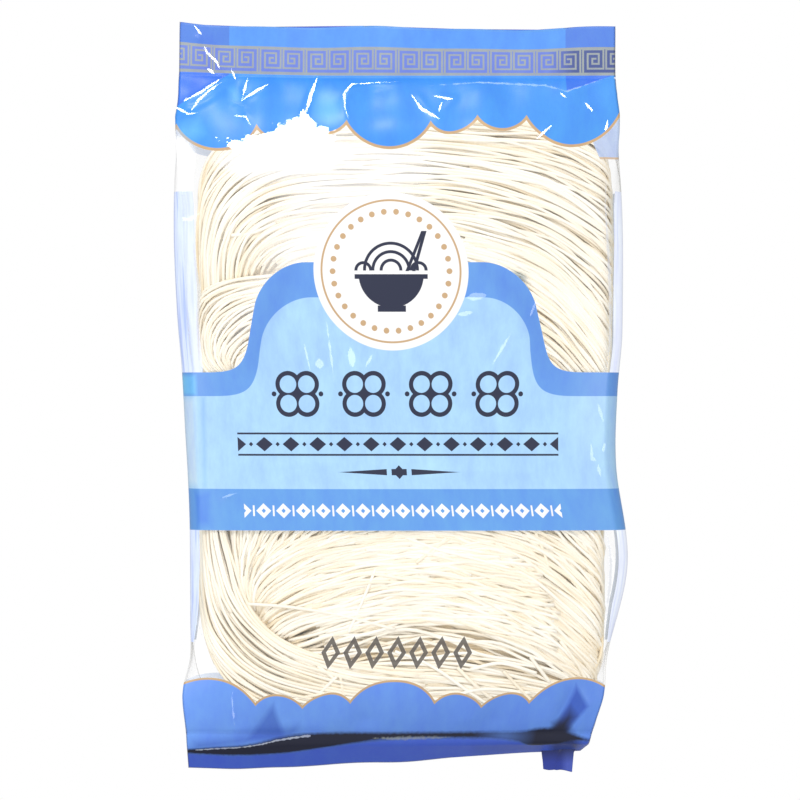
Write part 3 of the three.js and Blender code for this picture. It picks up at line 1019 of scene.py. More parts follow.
# sharp folds of the film that catch the light: photograph points, height and half-width in mm
creases = [
    ([(181, 106), (200, 95), (231, 77)], 0.9, 1.3), ([(184, 113), (208, 101), (233, 83)], 0.6, 1.0),
    ([(243, 80), (247, 101)], 0.5, 0.9), ([(247, 101), (276, 84)], 0.6, 1.0),
    ([(316, 78), (309, 100), (300, 126)], 0.7, 1.0),
    ([(346, 119), (343, 104), (351, 91), (376, 85), (412, 82)], 0.7, 1.2),
    ([(417, 95), (427, 110), (441, 122)], 0.6, 1.0), ([(436, 96), (455, 99), (444, 111)], 0.45, 0.8),
    ([(420, 86), (470, 82), (540, 86), (575, 92)], 0.5, 2.0), ([(615, 74), (595, 85), (570, 93)], 0.6, 1.2),
    ([(585, 104), (593, 111)], 0.5, 0.8), ([(535, 146), (548, 126)], 0.5, 0.9),
    ([(610, 128), (604, 140)], 0.5, 0.9),
    ([(203, 48), (214, 60), (226, 77)], 0.5, 0.8), ([(196, 34), (201, 42)], 0.4, 0.7),
    ([(231, 104), (245, 110), (250, 120)], 0.5, 0.8),
    ([(176, 118), (188, 108), (196, 112)], 0.5, 0.9),
    ([(318, 322), (321, 362)], 0.28, 0.9), ([(329, 316), (338, 402)], 0.35, 1.1),
    ([(346, 326), (342, 386)], 0.28, 1.2), ([(353, 320), (362, 352)], 0.25, 0.9),
    ([(511, 333), (500, 352), (490, 373)], 0.45, 0.9), ([(536, 299), (530, 318)], 0.35, 0.8),
    ([(222, 497), (236, 493)], 0.3, 0.8), ([(262, 470), (300, 462), (352, 466)], 0.2, 1.5),
    ([(420, 478), (470, 470), (540, 474)], 0.2, 1.5), ([(452, 300), (486, 296), (520, 312)], 0.25, 1.3),
    ([(178, 216), (200, 211), (222, 203)], 0.5, 1.3), ([(190, 240), (196, 300), (200, 350)], 0.4, 1.2),
    ([(606, 150), (612, 200), (611, 280)], 0.4, 1.2), ([(604, 300), (612, 345), (610, 372)], 0.4, 1.0),
    ([(604, 530), (612, 560), (610, 600)], 0.5, 1.1), ([(617, 500), (624, 540), (620, 590)], 0.4, 1.0),
    ([(197, 560), (200, 600), (206, 640)], 0.35, 1.0), ([(232, 690), (234, 715), (238, 738)], 0.6, 1.1),
    ([(274, 704), (262, 722), (249, 742)], -0.8, 2.0), ([(274, 704), (282, 722), (287, 738)], 0.6, 1.4),
    ([(574, 688), (562, 712), (552, 738)], -0.9, 2.2), ([(574, 688), (586, 704), (580, 730)], 0.6, 1.6),
    ([(195, 742), (250, 733), (300, 727), (380, 731), (450, 734)], 0.5, 2.2),
    ([(512, 128), (528, 141), (546, 128)], 0.25, 1.0),
]


def creaseHeights(x, y):
    raised = np.zeros_like(x)
    for points, height, width in creases:
        ends = [np.array(fromPhoto(*point)) for point in points]
        lengths = [np.linalg.norm(b - a) for a, b in zip(ends, ends[1:])]
        nearest = np.full_like(x, 1e6)
        place = np.zeros_like(x)
        walked = 0.0
        for a, b, length in zip(ends, ends[1:], lengths):
            share = np.clip(((x - a[0]) * (b - a)[0] + (y - a[1]) * (b - a)[1]) / length ** 2, 0, 1)
            away = np.hypot(x - a[0] - share * (b - a)[0], y - a[1] - share * (b - a)[1])
            closer = away < nearest
            nearest = np.where(closer, away, nearest)
            place = np.where(closer, (walked + share * length) / sum(lengths), place)
            walked += length
        taper = np.sin(np.clip(place, 0, 1) * math.pi) ** 0.6
        raised += height * np.exp(-(nearest / width) ** 1.4) * (0.25 + 0.75 * taper)
    return raised


def crumples(places, along, around):
    inside = depthInside(along)
    nearSeal = np.exp(-np.maximum(inside, 0) / 16) * np.where(inside < 0, 0.35, 1.0)
    nearSeal = nearSeal * np.where(np.abs(around) < 66, film["frontCrumple"], 1.0)
    heights = np.empty(len(places))
    for i, (x, y, z) in enumerate(places):
        slow = noise.noise(Vector((x / 17, y / 24, z / 17)))
        ridged = abs(noise.noise(Vector((x / 7 + 5, y / 9, z / 7))))
        ridged += 0.5 * abs(noise.noise(Vector((x / 3, y / 4, z / 3))))
        heights[i] = film["looseness"] * slow + film["crumple"] * nearSeal[i] * (0.5 - ridged)
    return heights


def makeFilm():
    columns, rows = filmColumns(), filmRows()
    bm = bmesh.new()
    bmesh.ops.create_grid(bm, x_segments=len(columns) - 1, y_segments=len(rows) - 1, size=1.0)
    mesh = bpy.data.meshes.new("bag_film")
    bm.to_mesh(mesh)
    flat = readBack(mesh.vertices, "co")
    column = np.rint((flat[:, 0] + 1) / 2 * (len(columns) - 1)).astype(int)
    row = np.rint((flat[:, 1] + 1) / 2 * (len(rows) - 1)).astype(int)
    around, along = columns[column], rows[row]

    places = filmPoints(around, along)
    movedTo(mesh, places)
    normals = readBack(mesh.vertex_normals, "vector")
    normals *= np.sign(np.median(normals[(np.abs(around) < 30) & (np.abs(along) < 50), 2]))
    # the welded layers of a seal move together, and part again inside the bag
    apart = np.clip(depthInside(along) / 5, 0, 1)[:, None]
    lowTilt = bag["bottomTilt"] + bag["bottomTiltChange"] * places[:, 0] / bag["panelHalf"]
    tilt = np.where(along > 0, bag["topTilt"], lowTilt)
    tilt = tilt * np.clip(-depthInside(along) / bag["bendLength"], 0, 1)
    sealNormals = np.stack([np.zeros_like(tilt), np.sign(along) * np.sin(tilt), np.cos(tilt)], axis=-1)
    onFront = np.maximum(np.abs(around) <= bag["panelHalf"], 1 - apart[:, 0])
    creased = creaseHeights(places[:, 0], places[:, 1]) * onFront
    flatPlaces = places * [1, 1, 0]
    own = (creased + crumples(places, along, around))[:, None]
    shared = (creased + crumples(flatPlaces, along, around * 0))[:, None]
    places += apart * normals * own + (1 - apart) * sealNormals * shared
    places[:, 2] = np.maximum(places[:, 2], 0.0)
    movedTo(mesh, places)

    mapped = np.stack(onMap(around, along), axis=-1)
    corner = np.empty(len(mesh.loops), np.int32)
    mesh.loops.foreach_get("vertex_index", corner)
    for name in ("filmMap", "OFBake"):
        mesh.uv_layers.new(name=name).uv.foreach_set("vector", mapped[corner].ravel().astype(np.float32))

    bm.clear()
    bm.from_mesh(mesh)
    bmesh.ops.remove_doubles(bm, verts=bm.verts, dist=0.00001)   # closes the seam down the back
    rims = [edge for edge in bm.edges if edge.is_boundary]
    for side in (1, -1):                                          # the two cut ends
        rim = [edge for edge in rims if edge.verts[0].co.y * side > 0]
        bmesh.ops.triangle_fill(bm, edges=rim, normal=(0, side, 0), use_beauty=True, use_dissolve=False)
    bmesh.ops.recalc_face_normals(bm, faces=bm.faces)
    bm.to_mesh(mesh)
    bm.free()
    return newPiece("bag_film", mesh, filmMaterial)


bagFilm = makeFilm()
print("bag film:", len(bagFilm.data.polygons), "faces, moved", frameShift)
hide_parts(bagNode)


tab = dict(
    width=9.8, length=12.2, middle=51.1, tipY=-120.0, tipHeight=1.7, tilt=math.radians(24), layers=0.9,
    columns=22, rows=24, foldAt=0.46, foldHeight=0.55, curl=0.8,
)


def makeCornerTab():  # the corner of the bottom seal, folded back on itself under the bag
    bm = bmesh.new()
    bmesh.ops.create_grid(bm, x_segments=tab["columns"], y_segments=tab["rows"], size=1.0)
    filmLayer = bm.loops.layers.uv.new("filmMap")
    half = tab["width"] / 2
    for vert in bm.verts:
        across, back = (vert.co.x + 1) / 2, (vert.co.y + 1) / 2
        left = -half * (1 + 0.2 * back)
        right = half * (0.9 + 0.1 * min(back / 0.55, 1) + 0.5 * max(back - 0.55, 0) / 0.45)
        x = left + (right - left) * across
        y = tab["length"] * back - 0.6 * across * (1 - back) - 0.25 * math.sin(across * 7)
        fold = tab["foldAt"] + 0.34 * back ** 1.6                    # where the second layer starts
        lift = tab["foldHeight"] / (1 + math.exp(-(across - fold) * 34))
        lift += 0.35 * math.exp(-((across - fold) / 0.05) ** 2)
        curl = tab["curl"] * (across - 0.5) ** 2 * (1 - back) + 0.15 * math.sin(9 * across + 5 * back)
        vert.co = (x, y, lift + curl)
    for face in bm.faces:
        for loop in face.loops:
            around, along = loop.vert.co.x + tab["middle"], -140.0 + loop.vert.co.y
            loop[filmLayer].uv = onMap(around, along)
    bmesh.ops.recalc_face_normals(bm, faces=bm.faces)
    if sum(face.normal.z for face in bm.faces) < 0:
        bmesh.ops.reverse_faces(bm, faces=bm.faces)
    bmesh.ops.solidify(bm, geom=bm.faces[:], thickness=tab["layers"])
    bmesh.ops.recalc_face_normals(bm, faces=bm.faces)
    turn = Matrix.Rotation(tab["tilt"], 4, "X")
    place = Matrix.Translation((tab["middle"] + frameShift[0], tab["tipY"] + frameShift[1], tab["tipHeight"]))
    bmesh.ops.transform(bm, matrix=Matrix.Scale(mm, 4) @ place @ turn, verts=bm.verts)
    mesh = bpy.data.meshes.new("corner_tab")
    bm.to_mesh(mesh)
    bm.free()
    newPiece("corner_tab", mesh, filmMaterial)


makeCornerTab()


noodle = dict(
    thickness=1.12, bend=2.9,        # mm through a strand, and between the points that it bends at
    clearance=0.8, cornerRound=5.0,  # mm under the film, and at the sides of the block
    layerStep=0.95, seed=7, shadeWithDepth=0.55, shortShare=0.12,
    topEnd=94.0, bottomEnd=-103.0,
)


def edgeOf(pairs):  # side of the block of noodles along its length, from (y, x) of the photograph
    return smoothThrough([fromPhoto(px, py)[::-1] for py, px in pairs])


noodleLeft = edgeOf([
    (100, 258), (112, 240), (126, 224), (142, 210), (160, 201), (200, 195), (260, 194), (330, 195),
    (400, 197), (530, 197), (600, 197), (640, 202), (670, 213), (692, 231), (710, 254), (726, 285)])
noodleRight = edgeOf([
    (100, 566), (112, 580), (126, 593), (142, 603), (160, 609), (200, 614), (300, 614), (373, 612),
    (489, 608), (560, 607), (640, 606), (668, 603), (690, 594), (710, 578), (726, 555)])


def blockHeights(x, y):  # of the underside of the film over the noodles
    left, right = foldsAt(y)
    u = np.clip(2 * (x - left) / (right - left) - 1, -1, 1)
    end = np.clip(np.minimum(noodle["topEnd"] - y, y - noodle["bottomEnd"]), 0, noodle["cornerRound"])
    rounded = noodle["cornerRound"] - np.sqrt(noodle["cornerRound"] ** 2 - (noodle["cornerRound"] - end) ** 2)
    return frontHeight(x, u, y) - noodle["clearance"] - rounded


def laidOn(x, y, depth):  # a path in plan, set on the block at a depth and turned down past its sides
    radius = np.maximum(noodle["cornerRound"] - 0.5 * depth, 1.5)
    left, right = noodleLeft(y) + depth, noodleRight(y) - depth
    pastLeft, pastRight = left + radius - x, x - right + radius
    past = np.maximum(pastLeft, pastRight)
    turn = np.clip(past / radius, 0, math.pi / 2)
    drop = radius * (1 - np.cos(turn)) + np.maximum(past - radius * math.pi / 2, 0)
    inset = radius - radius * np.sin(turn)
    edge = np.where(pastLeft > pastRight, left + inset, right - inset)
    x = np.where(past > 0, edge, x)
    return np.stack([x, y, np.maximum(blockHeights(x, y) - depth - drop, 2.0)], axis=-1)


def hiddenByPrint(x, y):  # well under opaque print, where no strand is needed
    band = (y < 1.0) & (y > -35.0)
    raised = (np.abs(x + 1) < 39.5) & (y < 36.0) & (y > -35.0)
    medal = np.hypot(x - medallion["middle"], y - medallion["height"]) < medallion["radius"] - 6.5
    return band | raised | medal


def waves(places, rng, pitch):  # gentle random ups and downs, within about -1 and 1
    total = np.zeros_like(places)
    for share, stretch in ((0.6, 1.0), (0.4, 2.3)):
        total += share * np.sin(math.tau * (places * pitch * stretch * rng.uniform(0.7, 1.3) + rng.uniform()))
    return total


def smoothPath(points, count):  # evenly spaced places, in mm, on a smooth curve through photograph points
    points = np.array([fromPhoto(*point) for point in points])
    walked = np.append(0, np.cumsum(np.hypot(*np.diff(points, axis=0).T)))
    curves = [smoothThrough(list(zip(walked, side))) for side in points.T]
    places = np.linspace(0, walked[-1], count)
    return np.stack([curve(places) for curve in curves], axis=-1)


def visibleRuns(path, hidden):  # the stretches of a strand that are kept
    runs, run = [], []
    for place, skip in zip(path, hidden):
        if skip:
            if len(run) > 2:
                runs.append(np.array(run))
            run = []
        else:
            run.append(place)
    if len(run) > 2:
        runs.append(np.array(run))
    return runs


# each flow: lines that its strands follow, in the photograph's pixels, from its outside inwards
flows = dict(
    upperTurn=dict(pitch=1.25, layers=4, depth=0.0, sink=(0.0, 3.0), wander=0.026, lift=0.24, guides=[
        [(660, 178), (628, 150), (590, 122), (545, 108), (480, 104), (400, 104), (300, 108), (238, 130),
         (200, 172), (190, 230), (190, 290), (196, 345)],
        [(665, 222), (628, 188), (596, 164), (555, 148), (480, 137), (400, 132), (300, 136), (240, 152),
         (208, 185), (196, 230), (197, 290), (203, 345)],
        [(665, 268), (628, 226), (590, 196), (540, 174), (470, 161), (400, 157), (310, 161), (255, 176),
         (222, 205), (209, 245), (209, 290), (214, 335)],
        [(665, 318), (628, 268), (590, 230), (540, 204), (470, 187), (400, 182), (330, 184), (270, 195),
         (236, 218), (222, 250), (221, 285), (225, 320)],
        [(662, 362), (626, 310), (588, 264), (540, 233), (470, 214), (400, 208), (335, 208), (285, 216),
         (250, 234), (236, 258), (233, 285), (236, 310)],
        [(658, 410), (622, 360), (588, 308), (550, 270), (490, 246), (430, 237), (380, 233), (325, 230),
         (285, 237), (262, 250), (250, 268), (247, 290)],
        [(655, 428), (620, 378), (588, 328), (552, 290), (510, 268), (460, 254), (420, 250), (375, 246),
         (330, 245), (292, 252), (273, 264), (264, 282)],
        [(652, 446), (618, 396), (588, 348), (556, 312), (520, 290), (470, 272), (425, 268), (380, 266),
         (335, 264), (305, 270), (288, 280), (278, 294)]]),
    upperRight=dict(pitch=1.25, layers=4, depth=0.1, sink=(0.0, 0.0), wander=0.026, lift=0.26, guides=[
        [(664, 400), (624, 345), (588, 296), (550, 262), (500, 240), (450, 228)],
        [(660, 432), (621, 382), (588, 334), (555, 298), (515, 270), (460, 252)],
        [(655, 464), (618, 415), (588, 374), (556, 338), (515, 308), (460, 285)],
        [(650, 494), (615, 448), (585, 408), (552, 376), (512, 352), (460, 330)]]),
    upperFold=dict(pitch=1.2, layers=3, depth=0.1, sink=(0.0, 1.0), wander=0.022, lift=0.2, guides=[
        [(350, 268), (300, 272), (262, 277), (222, 283), (198, 296), (188, 320), (190, 345), (200, 366),
         (220, 384)],
        [(350, 285), (300, 288), (262, 294), (232, 303), (213, 320), (207, 342), (212, 362), (232, 382)],
        [(350, 305), (305, 307), (268, 312), (240, 324), (224, 342), (221, 360), (236, 380)],
        [(350, 330), (305, 331), (275, 336), (252, 346), (236, 362), (240, 380)],
        [(350, 352), (310, 353), (285, 356), (262, 364), (250, 374), (248, 384)]]),
    lowerTurn=dict(pitch=1.2, layers=4, depth=0.0, sink=(0.0, 0.6), wander=0.026, lift=0.3, guides=[
        [(190, 490), (190, 545), (195, 600), (204, 645), (228, 684), (272, 712), (335, 724), (440, 730)],
        [(196, 490), (196, 545), (200, 595), (210, 636), (235, 668), (280, 692), (343, 706), (440, 713)],
        [(204, 490), (204, 540), (209, 582), (221, 620), (248, 652), (292, 676), (354, 690), (440, 699)],
        [(213, 490), (214, 535), (221, 568), (233, 602), (254, 630), (289, 654), (345, 672), (430, 684)],
        [(224, 490), (228, 532), (236, 563), (245, 592), (259, 616), (283, 637), (322, 653), (380, 664),
         (430, 670)]]),
    lowerFan=dict(pitch=1.2, layers=4, depth=0.25, sink=(0.0, 1.7), wander=0.018, lift=0.34, guides=[
        [(228, 495), (232, 535), (236, 570), (242, 592), (249, 612)],
        [(256, 495), (247, 535), (243, 566), (244, 590), (252, 614)],
        [(290, 495), (268, 535), (253, 563), (249, 586), (254, 612)],
        [(345, 505), (303, 538), (273, 559), (255, 580), (253, 610)],
        [(430, 528), (365, 538), (310, 551), (275, 570), (256, 592), (256, 616)],
        [(500, 540), (440, 545), (370, 556), (314, 569), (279, 585), (260, 604), (261, 624)],
        [(540, 568), (460, 561), (380, 572), (320, 587), (285, 602), (266, 616), (256, 630)],
        [(560, 612), (480, 591), (400, 591), (340, 600), (302, 611), (278, 622), (262, 637)],
        [(560, 650), (490, 630), (420, 619), (360, 618), (320, 623), (297, 632), (278, 644)]]),
    lowerRight=dict(pitch=1.3, layers=4, depth=0.0, sink=(1.2, 0.0), wander=0.026, lift=0.38, guides=[
        [(545, 490), (583, 510), (606, 536), (622, 570), (630, 610)],
        [(470, 490), (528, 508), (572, 532), (602, 564), (626, 605), (640, 650)],
        [(400, 500), (462, 514), (518, 533), (564, 558), (600, 592), (628, 634), (648, 680)],
        [(330, 530), (400, 532), (470, 542), (530, 564), (578, 598), (614, 640), (645, 688)],
        [(310, 560), (370, 552), (440, 556), (510, 578), (562, 610), (604, 652), (640, 700)],
        [(300, 592), (355, 575), (420, 571), (490, 590), (545, 618), (588, 656), (625, 702)],
        [(310, 622), (365, 606), (430, 600), (490, 615), (540, 640), (580, 672), (612, 708)],
        [(325, 646), (382, 629), (440, 622), (495, 637), (540, 658), (575, 684), (600, 710)]]),
    lowerEdge=dict(pitch=1.35, layers=4, depth=0.7, sink=(0.5, 0.5), wander=0.04, lift=0.42, guides=[
        [(282, 642), (304, 634), (360, 616), (430, 610), (490, 622), (545, 646), (600, 680)],
        [(270, 662), (300, 668), (360, 662), (430, 660), (500, 668), (560, 684), (610, 704)],
        [(280, 694), (350, 684), (430, 680), (500, 686), (560, 696), (600, 708)],
        [(270, 708), (350, 702), (430, 698), (500, 700), (560, 706), (590, 714)],
        [(262, 730), (350, 724), (430, 722), (500, 723), (560, 728), (590, 734)]]),
)
# single strands that lie across the rest
strays = [
    [(376, 567), (366, 592), (349, 631)], [(248, 603), (290, 606), (340, 614), (395, 628)],
    [(338, 674), (328, 684), (318, 694)], [(340, 672), (342, 683), (344, 697)],
    [(318, 665), (328, 672), (335, 678)], [(533, 528), (541, 546), (548, 566)],
    [(456, 534), (437, 546), (416, 562)], [(449, 534), (440, 543), (430, 554)],
    [(457, 666), (474, 683), (495, 701)], [(503, 670), (516, 684), (533, 702)],
    [(530, 656), (539, 668), (549, 681)], [(395, 650), (430, 664), (468, 690), (488, 704)],
    [(200, 500), (205, 548), (216, 582), (232, 612)], [(212, 652), (240, 672), (280, 690), (322, 700)],
    [(286, 700), (330, 692), (372, 694)], [(440, 700), (480, 688), (530, 692)],
    [(470, 668), (500, 662), (536, 672)], [(404, 536), (450, 552), (500, 556)],
    [(232, 236), (252, 234), (276, 224)], [(560, 640), (580, 668), (590, 690)],
    [(520, 196), (560, 210), (606, 238)],
]


def flowStrands(flow, rng):
    places = 90
    guides = np.array([smoothPath(points, places) for points in flow["guides"]])
    gaps = np.linalg.norm(np.diff(guides, axis=0), axis=-1)
    lastGuide, count = len(guides) - 1, int(gaps.sum(axis=0).max() / flow["pitch"])
    strands = []
    for layer in range(flow["layers"]):
        for k in range(count):
            across = (k + 0.5 * (layer % 2) + rng.uniform(0.2, 0.8)) / count % 1
            first, last = rng.uniform(0, 0.03), 1 - rng.uniform(0, 0.05)
            if rng.uniform() < noodle["shortShare"]:   # a strand broken off at either end
                broken = rng.uniform() < 0.5
                first, last = (rng.uniform(0.1, 0.7), last) if broken else (first, rng.uniform(0.3, 0.9))
            middle = guides[int(across * lastGuide)]
            length = np.linalg.norm(np.diff(middle, axis=0), axis=-1).sum() * (last - first)
            t = np.linspace(first, last, max(int(length / noodle["bend"]), 4))
            s = np.clip(across + flow["wander"] * waves(t, rng, 1.6), 0, 1) * lastGuide
            i = np.minimum(s.astype(int), lastGuide - 1)
            j = np.minimum((t * (places - 1)).astype(int), places - 2)
            f, g = (s - i)[:, None], (t * (places - 1) - j)[:, None]
            near = guides[i, j] * (1 - g) + guides[i, j + 1] * g
            far = guides[i + 1, j] * (1 - g) + guides[i + 1, j + 1] * g
            plan = near * (1 - f) + far * f
            crowding = noodle["thickness"] / np.maximum(gaps[i, j] * lastGuide / count, 0.15) - 1
            depth = flow["depth"] + layer * noodle["layerStep"] + flow["lift"] * (1 + waves(t, rng, 3.0))
            depth = depth + rng.uniform() * noodle["thickness"] * np.clip(crowding, 0, 2.2)
            start, end = flow["sink"]
            depth = depth + start * np.clip(1 - t / 0.15, 0, 1) ** 2
            depth = depth + end * np.clip((t - 0.82) / 0.18, 0, 1) ** 2
            path = laidOn(plan[:, 0], plan[:, 1], depth + noodle["thickness"] / 2)
            strands += visibleRuns(path, hiddenByPrint(path[:, 0], path[:, 1]))
    return strands


def strayStrands(rng):
    strands = []
    for points in strays:
        plan = smoothPath(points, 24)
        depth = 0.1 + noodle["thickness"] / 2 + 0.25 * (1 + waves(np.linspace(0, 1, 24), rng, 1.0))
        strands.append(laidOn(plan[:, 0], plan[:, 1], depth))
    return strands


def sideStrands(rng):  # down both long sides of the block
    strands = []
    for edge, inward in ((noodleLeft, 1), (noodleRight, -1)):
        for k in range(34):
            y = np.arange(-92, 84, 3.2) + rng.uniform(-1, 1)
            height = 2.6 + 16.0 * (k % 17 + rng.uniform(0, 1)) / 17 + 1.6 * waves(y / 170, rng, 2.0)
            x = edge(y) + inward * (1.8 + (k // 17) * 1.1 + 0.7 * waves(y / 170, rng, 3.0))
            ends = np.clip(np.minimum(84 - y, y + 94) / 12, 0, 1)
            strands.append(np.stack([x + inward * 5 * (1 - ends) ** 2, y, height], axis=-1))
    return strands


def backStrands(rng):  # on the side that lies down, where the back print leaves it clear
    strands = []
    length, rows = noodle["topEnd"] - noodle["bottomEnd"] - 9, 115
    for k in range(2 * rows):
        y0 = noodle["bottomEnd"] + 5 + length * (k % rows + rng.uniform(0, 1)) / rows
        left, right = noodleLeft(y0) + 3.0, noodleRight(y0) - 3.0
        x = np.linspace(left, right, int((right - left) / 2.8))
        y = y0 + 2.0 * waves(x / 130, rng, 1.3) + 1.5 * np.sin(x / 40 + y0 / 30)
        leftFold, rightFold = foldsAt(y)
        u = np.clip(2 * (x - leftFold) / (rightFold - leftFold) - 1, -1, 1)
        side = np.clip(1 - np.minimum(x - left, right - x) / 5, 0, 1)
        z = backHeight(u, y) + 1.1 + k // rows + 0.3 * (1 + waves(x / 130, rng, 3.0)) + 3 * side ** 2
        path = np.stack([x, y, z], axis=-1)
        strands += visibleRuns(path, (np.abs(x) < 48) & (y < 53) & (y > -65))
    return strands


def depthShare(path):  # how much painted shade a strand gets: 0 for the uppermost strands and 1 for the lowest that show from the front
    x, y, z = path.T
    return np.where(z > 18, np.clip((blockHeights(x, y) - z - 1.2) / 3, 0, 1), 0.3)


def strandMesh(name, strands, rng):
    curve = bpy.data.curves.new(name, "CURVE")
    curve.dimensions = "3D"
    curve.bevel_depth = noodle["thickness"] / 2 * mm
    curve.bevel_resolution = 1   # six sides
    for path in strands:
        spline = curve.splines.new("POLY")
        spline.points.add(len(path) - 1)
        placed = (path + frameShift) * mm
        spline.points.foreach_set("co", np.column_stack([placed, np.ones(len(path))]).ravel())
        stout = rng.uniform(0.9, 1.08) + 0.03 * waves(np.linspace(0, 1, len(path)), rng, 4.0)
        spline.points.foreach_set("radius", stout)
    holder = bpy.data.objects.new(name + "_curve", curve)
    bpy.context.scene.collection.objects.link(holder)
    mesh = bpy.data.meshes.new_from_object(holder.evaluated_get(bpy.context.evaluated_depsgraph_get()))
    bpy.data.objects.remove(holder)
    mesh.name = name
    # random tone per strand, with painted shade making deeper strands darker
    toneAndShade = [np.repeat(tint - noodle["shadeWithDepth"] * depthShare(path), 6)
             for tint, path in zip(rng.uniform(0, 1, len(strands)), strands)]
    setToneAndShade(mesh, np.concatenate(toneAndShade))
    mesh.materials.clear()
    bm = bmesh.new()
    bm.from_mesh(mesh)
    bmesh.ops.holes_fill(bm, edges=[edge for edge in bm.edges if edge.is_boundary], sides=6)   # cut ends
    bmesh.ops.recalc_face_normals(bm, faces=bm.faces)
    bm.to_mesh(mesh)
    bm.free()
    return mesh


noodleLook = dict(color=(0.90, 0.825, 0.69), pale=(0.925, 0.88, 0.785), warm=(0.86, 0.755, 0.57),
                  deep=(0.82, 0.68, 0.45), roughness=0.5)


def makeNoodleMaterial():
    material, tree, surface = newMaterial("dried wheat noodle")
    place = tree.nodes.new("ShaderNodeTexCoord").outputs["Object"]
    strand = tree.nodes.new("ShaderNodeAttribute")
    strand.attribute_name = "strand"
    blotches = noiseTexture(tree, place, 60.0, 1.0)
    flour = noiseTexture(tree, place, 1400.0, 1.0, 0.6)
    tone = Value(strand.outputs["Fac"]) * 0.7 + blotches * 0.5
    ramp = tree.nodes.new("ShaderNodeValToRGB")
    tones = ramp.color_ramp.elements
    tones[0].position, tones[0].color = 0.15, (*noodleLook["warm"], 1)
    tones[1].position, tones[1].color = 0.95, (*noodleLook["pale"], 1)
    tones.new(0.5).color = (*noodleLook["color"], 1)
    # painted shade: the darkest tone, for the deepest strands and the core
    tones.new(0.0).color = (*noodleLook["deep"], 1)
    plug(ramp.inputs[0], tone)
    bump = newNode(tree, "Bump", {"Distance": 0.04 * mm, "Strength": 0.6, "Height": flour})
    shader = newNode(tree, "BsdfPrincipled", {
        "Base Color": ramp.outputs[0], "Roughness": noodleLook["roughness"],
        "Specular IOR Level": 0.3, "Normal": bump.outputs[0]})
    plug(surface, shader.outputs[0])
    return material


noodleMaterial = makeNoodleMaterial()


def makeNoodles():
    rng = np.random.default_rng(noodle["seed"])
    groups = {
        "noodles_upper": flowStrands(flows["upperTurn"], rng),
        "noodles_upper_fold": flowStrands(flows["upperFold"], rng) + flowStrands(flows["upperRight"], rng),
        "noodles_lower_left": flowStrands(flows["lowerTurn"], rng) + flowStrands(flows["lowerFan"], rng),
        "noodles_lower_right": flowStrands(flows["lowerRight"], rng) + flowStrands(flows["lowerEdge"], rng),
        "noodles_sides": sideStrands(rng),
        "noodles_back": backStrands(rng),
        "loose_strands": strayStrands(rng),
    }
    for name, strands in groups.items():
        mesh = strandMesh(name, strands, rng)
        newPiece(name, mesh, noodleMaterial)
        triangles = sum(len(face.vertices) - 2 for face in mesh.polygons)
        print(name, len(strands), "strands,", triangles, "triangles")


makeNoodles()


core = dict(
    cuts=56, depth=4.2, sideInset=3.4, relief=0.45, tint=-0.3,
    hollow=(291, 640), hollowSize=(6.5, 2.8), hollowDepth=11.0,   # the hollow's place in the photograph, mm
)


def makeCore():  # the body of the bundle under the strands that show
    bm = bmesh.new()
    bmesh.ops.create_cube(bm, size=2.0)
    bmesh.ops.subdivide_edges(bm, edges=bm.edges, cuts=core["cuts"], use_grid_fill=True)
    mesh = bpy.data.meshes.new("noodle_core")
    bm.to_mesh(mesh)
    bm.free()
    cube = readBack(mesh.vertices, "co").astype(float)
    y = noodle["bottomEnd"] + 4 + (noodle["topEnd"] - noodle["bottomEnd"] - 7) * (cube[:, 1] + 1) / 2
    left, right = noodleLeft(y) + core["sideInset"], noodleRight(y) - core["sideInset"]
    x = left + (right - left) * (cube[:, 0] + 1) / 2
    leftFold, rightFold = foldsAt(y)
    low = backHeight(np.clip(2 * (x - leftFold) / (rightFold - leftFold) - 1, -1, 1), y) + 3.2
    high = laidOn(np.clip(x, left + 1, right - 1), y, core["depth"])[:, 2]
    z = low + (high - low) * (cube[:, 2] + 1) / 2
    ridges = np.array([noise.noise(Vector((a / 9, b / 1.3, c / 3))) for a, b, c in zip(x, y, z)])
    z += core["relief"] * ridges * np.sign(cube[:, 2])
    hollowX, hollowY = fromPhoto(*core["hollow"])
    far = ((x - hollowX) / core["hollowSize"][0]) ** 2 + ((y - hollowY) / core["hollowSize"][1]) ** 2
    z -= core["hollowDepth"] * np.exp(-far) * (cube[:, 2] > 0.99)
    movedTo(mesh, np.stack([x, y, z], axis=-1))
    # painted shade: the core takes the darkest tone
    setToneAndShade(mesh, np.full(len(mesh.vertices), core["tint"]))
    newPiece("noodle_core", mesh, noodleMaterial)


makeCore()
print("noodles ready")


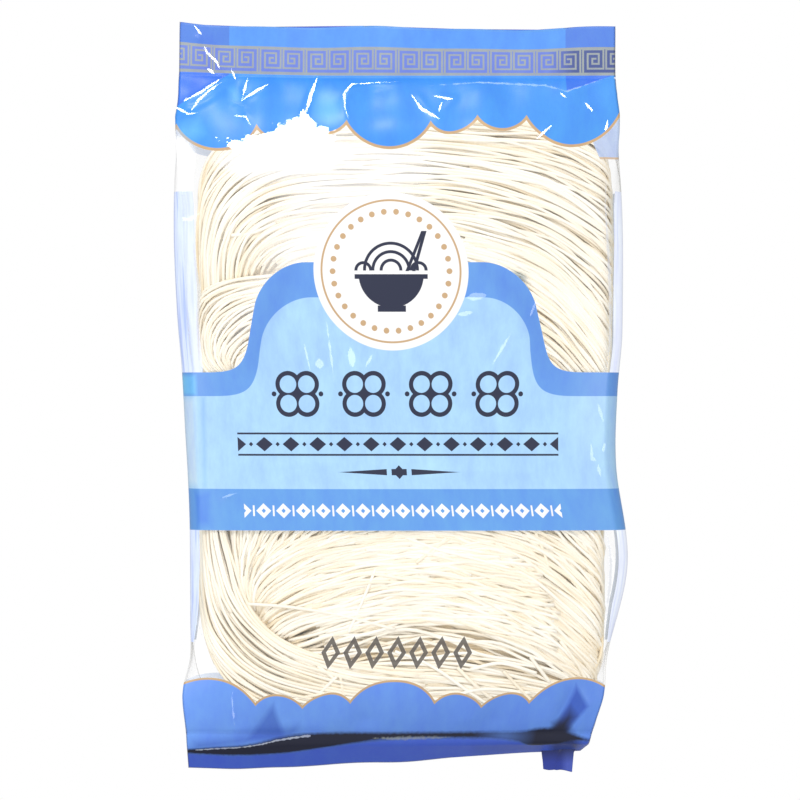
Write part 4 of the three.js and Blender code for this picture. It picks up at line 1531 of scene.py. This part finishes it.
stage = dict(floorSize=3.0, floorColor=(0.4, 0.4, 0.4, 1.0), skyColor=(1.0, 1.0, 1.0, 1.0), skyStrength=0.84,
             discWidening=1.13)   # a disc's width to that of a square with its area
lamps = [  # name, place in m, size in m, watts
    ("keyLight", (-0.42, 0.90, 1.10), 0.22, 6.0),
    ("sideLight", (-1.25, -0.30, 1.05), 0.5, 5.0),
    ("fillLight", (1.15, -0.25, 1.10), 0.5, 5.0),
    ("lowLight", (-0.25, 1.45, 0.36), 0.25, 3.5),
]
camera = dict(height=viewHeight * mm, sensor=36.0, focus=focusHeight * mm)


def makeFloor():
    bm = bmesh.new()
    bmesh.ops.create_grid(bm, x_segments=2, y_segments=2, size=stage["floorSize"] / 2)
    mesh = bpy.data.meshes.new("floor")
    bm.to_mesh(mesh)
    bm.free()
    material, tree, surface = newMaterial("pale floor")
    shader = newNode(tree, "BsdfDiffuse", {"Color": stage["floorColor"]})
    white = tree.nodes.new("ShaderNodeEmission")    # the photograph's ground is plain white
    seenDirectly = tree.nodes.new("ShaderNodeLightPath").outputs["Is Camera Ray"]
    plug(surface, mixShaders(seenDirectly, shader, white).outputs[0])
    mesh.materials.append(material)
    floor = bpy.data.objects.new("floor", mesh)
    floor.location.z = -0.0002
    bpy.context.scene.collection.objects.link(floor)


def makeLights():
    world = bpy.data.worlds.new("studio")
    bpy.context.scene.world = world
    world.use_nodes = True
    sky = world.node_tree.nodes["Background"]
    sky.inputs["Color"].default_value = stage["skyColor"]
    sky.inputs["Strength"].default_value = stage["skyStrength"]
    for name, place, size, watts in lamps:
        light = bpy.data.lights.new(name, "AREA")
        light.shape, light.energy = "DISK", watts
        light.size = size * stage["discWidening"]
        lamp = bpy.data.objects.new(name, light)
        lamp.location = place
        lamp.rotation_euler = (-Vector(place)).to_track_quat("-Z", "Y").to_euler()
        bpy.context.scene.collection.objects.link(lamp)


def makeCamera():
    x, y = fromPhoto(400, 400)
    view = bpy.data.cameras.new("camera")
    view.sensor_width = camera["sensor"]
    view.lens = camera["sensor"] * (camera["height"] - camera["focus"]) / (800 * pixelSize * mm)
    view.clip_start, view.clip_end = 0.1, 20
    looker = bpy.data.objects.new("camera", view)
    looker.location = ((x + frameShift[0]) * mm, (y + frameShift[1]) * mm, camera["height"])
    bpy.context.scene.collection.objects.link(looker)
    bpy.context.scene.camera = looker


makeFloor()
makeLights()
makeCamera()
bpy.context.scene.view_settings.view_transform = "Standard"
print("stage ready")
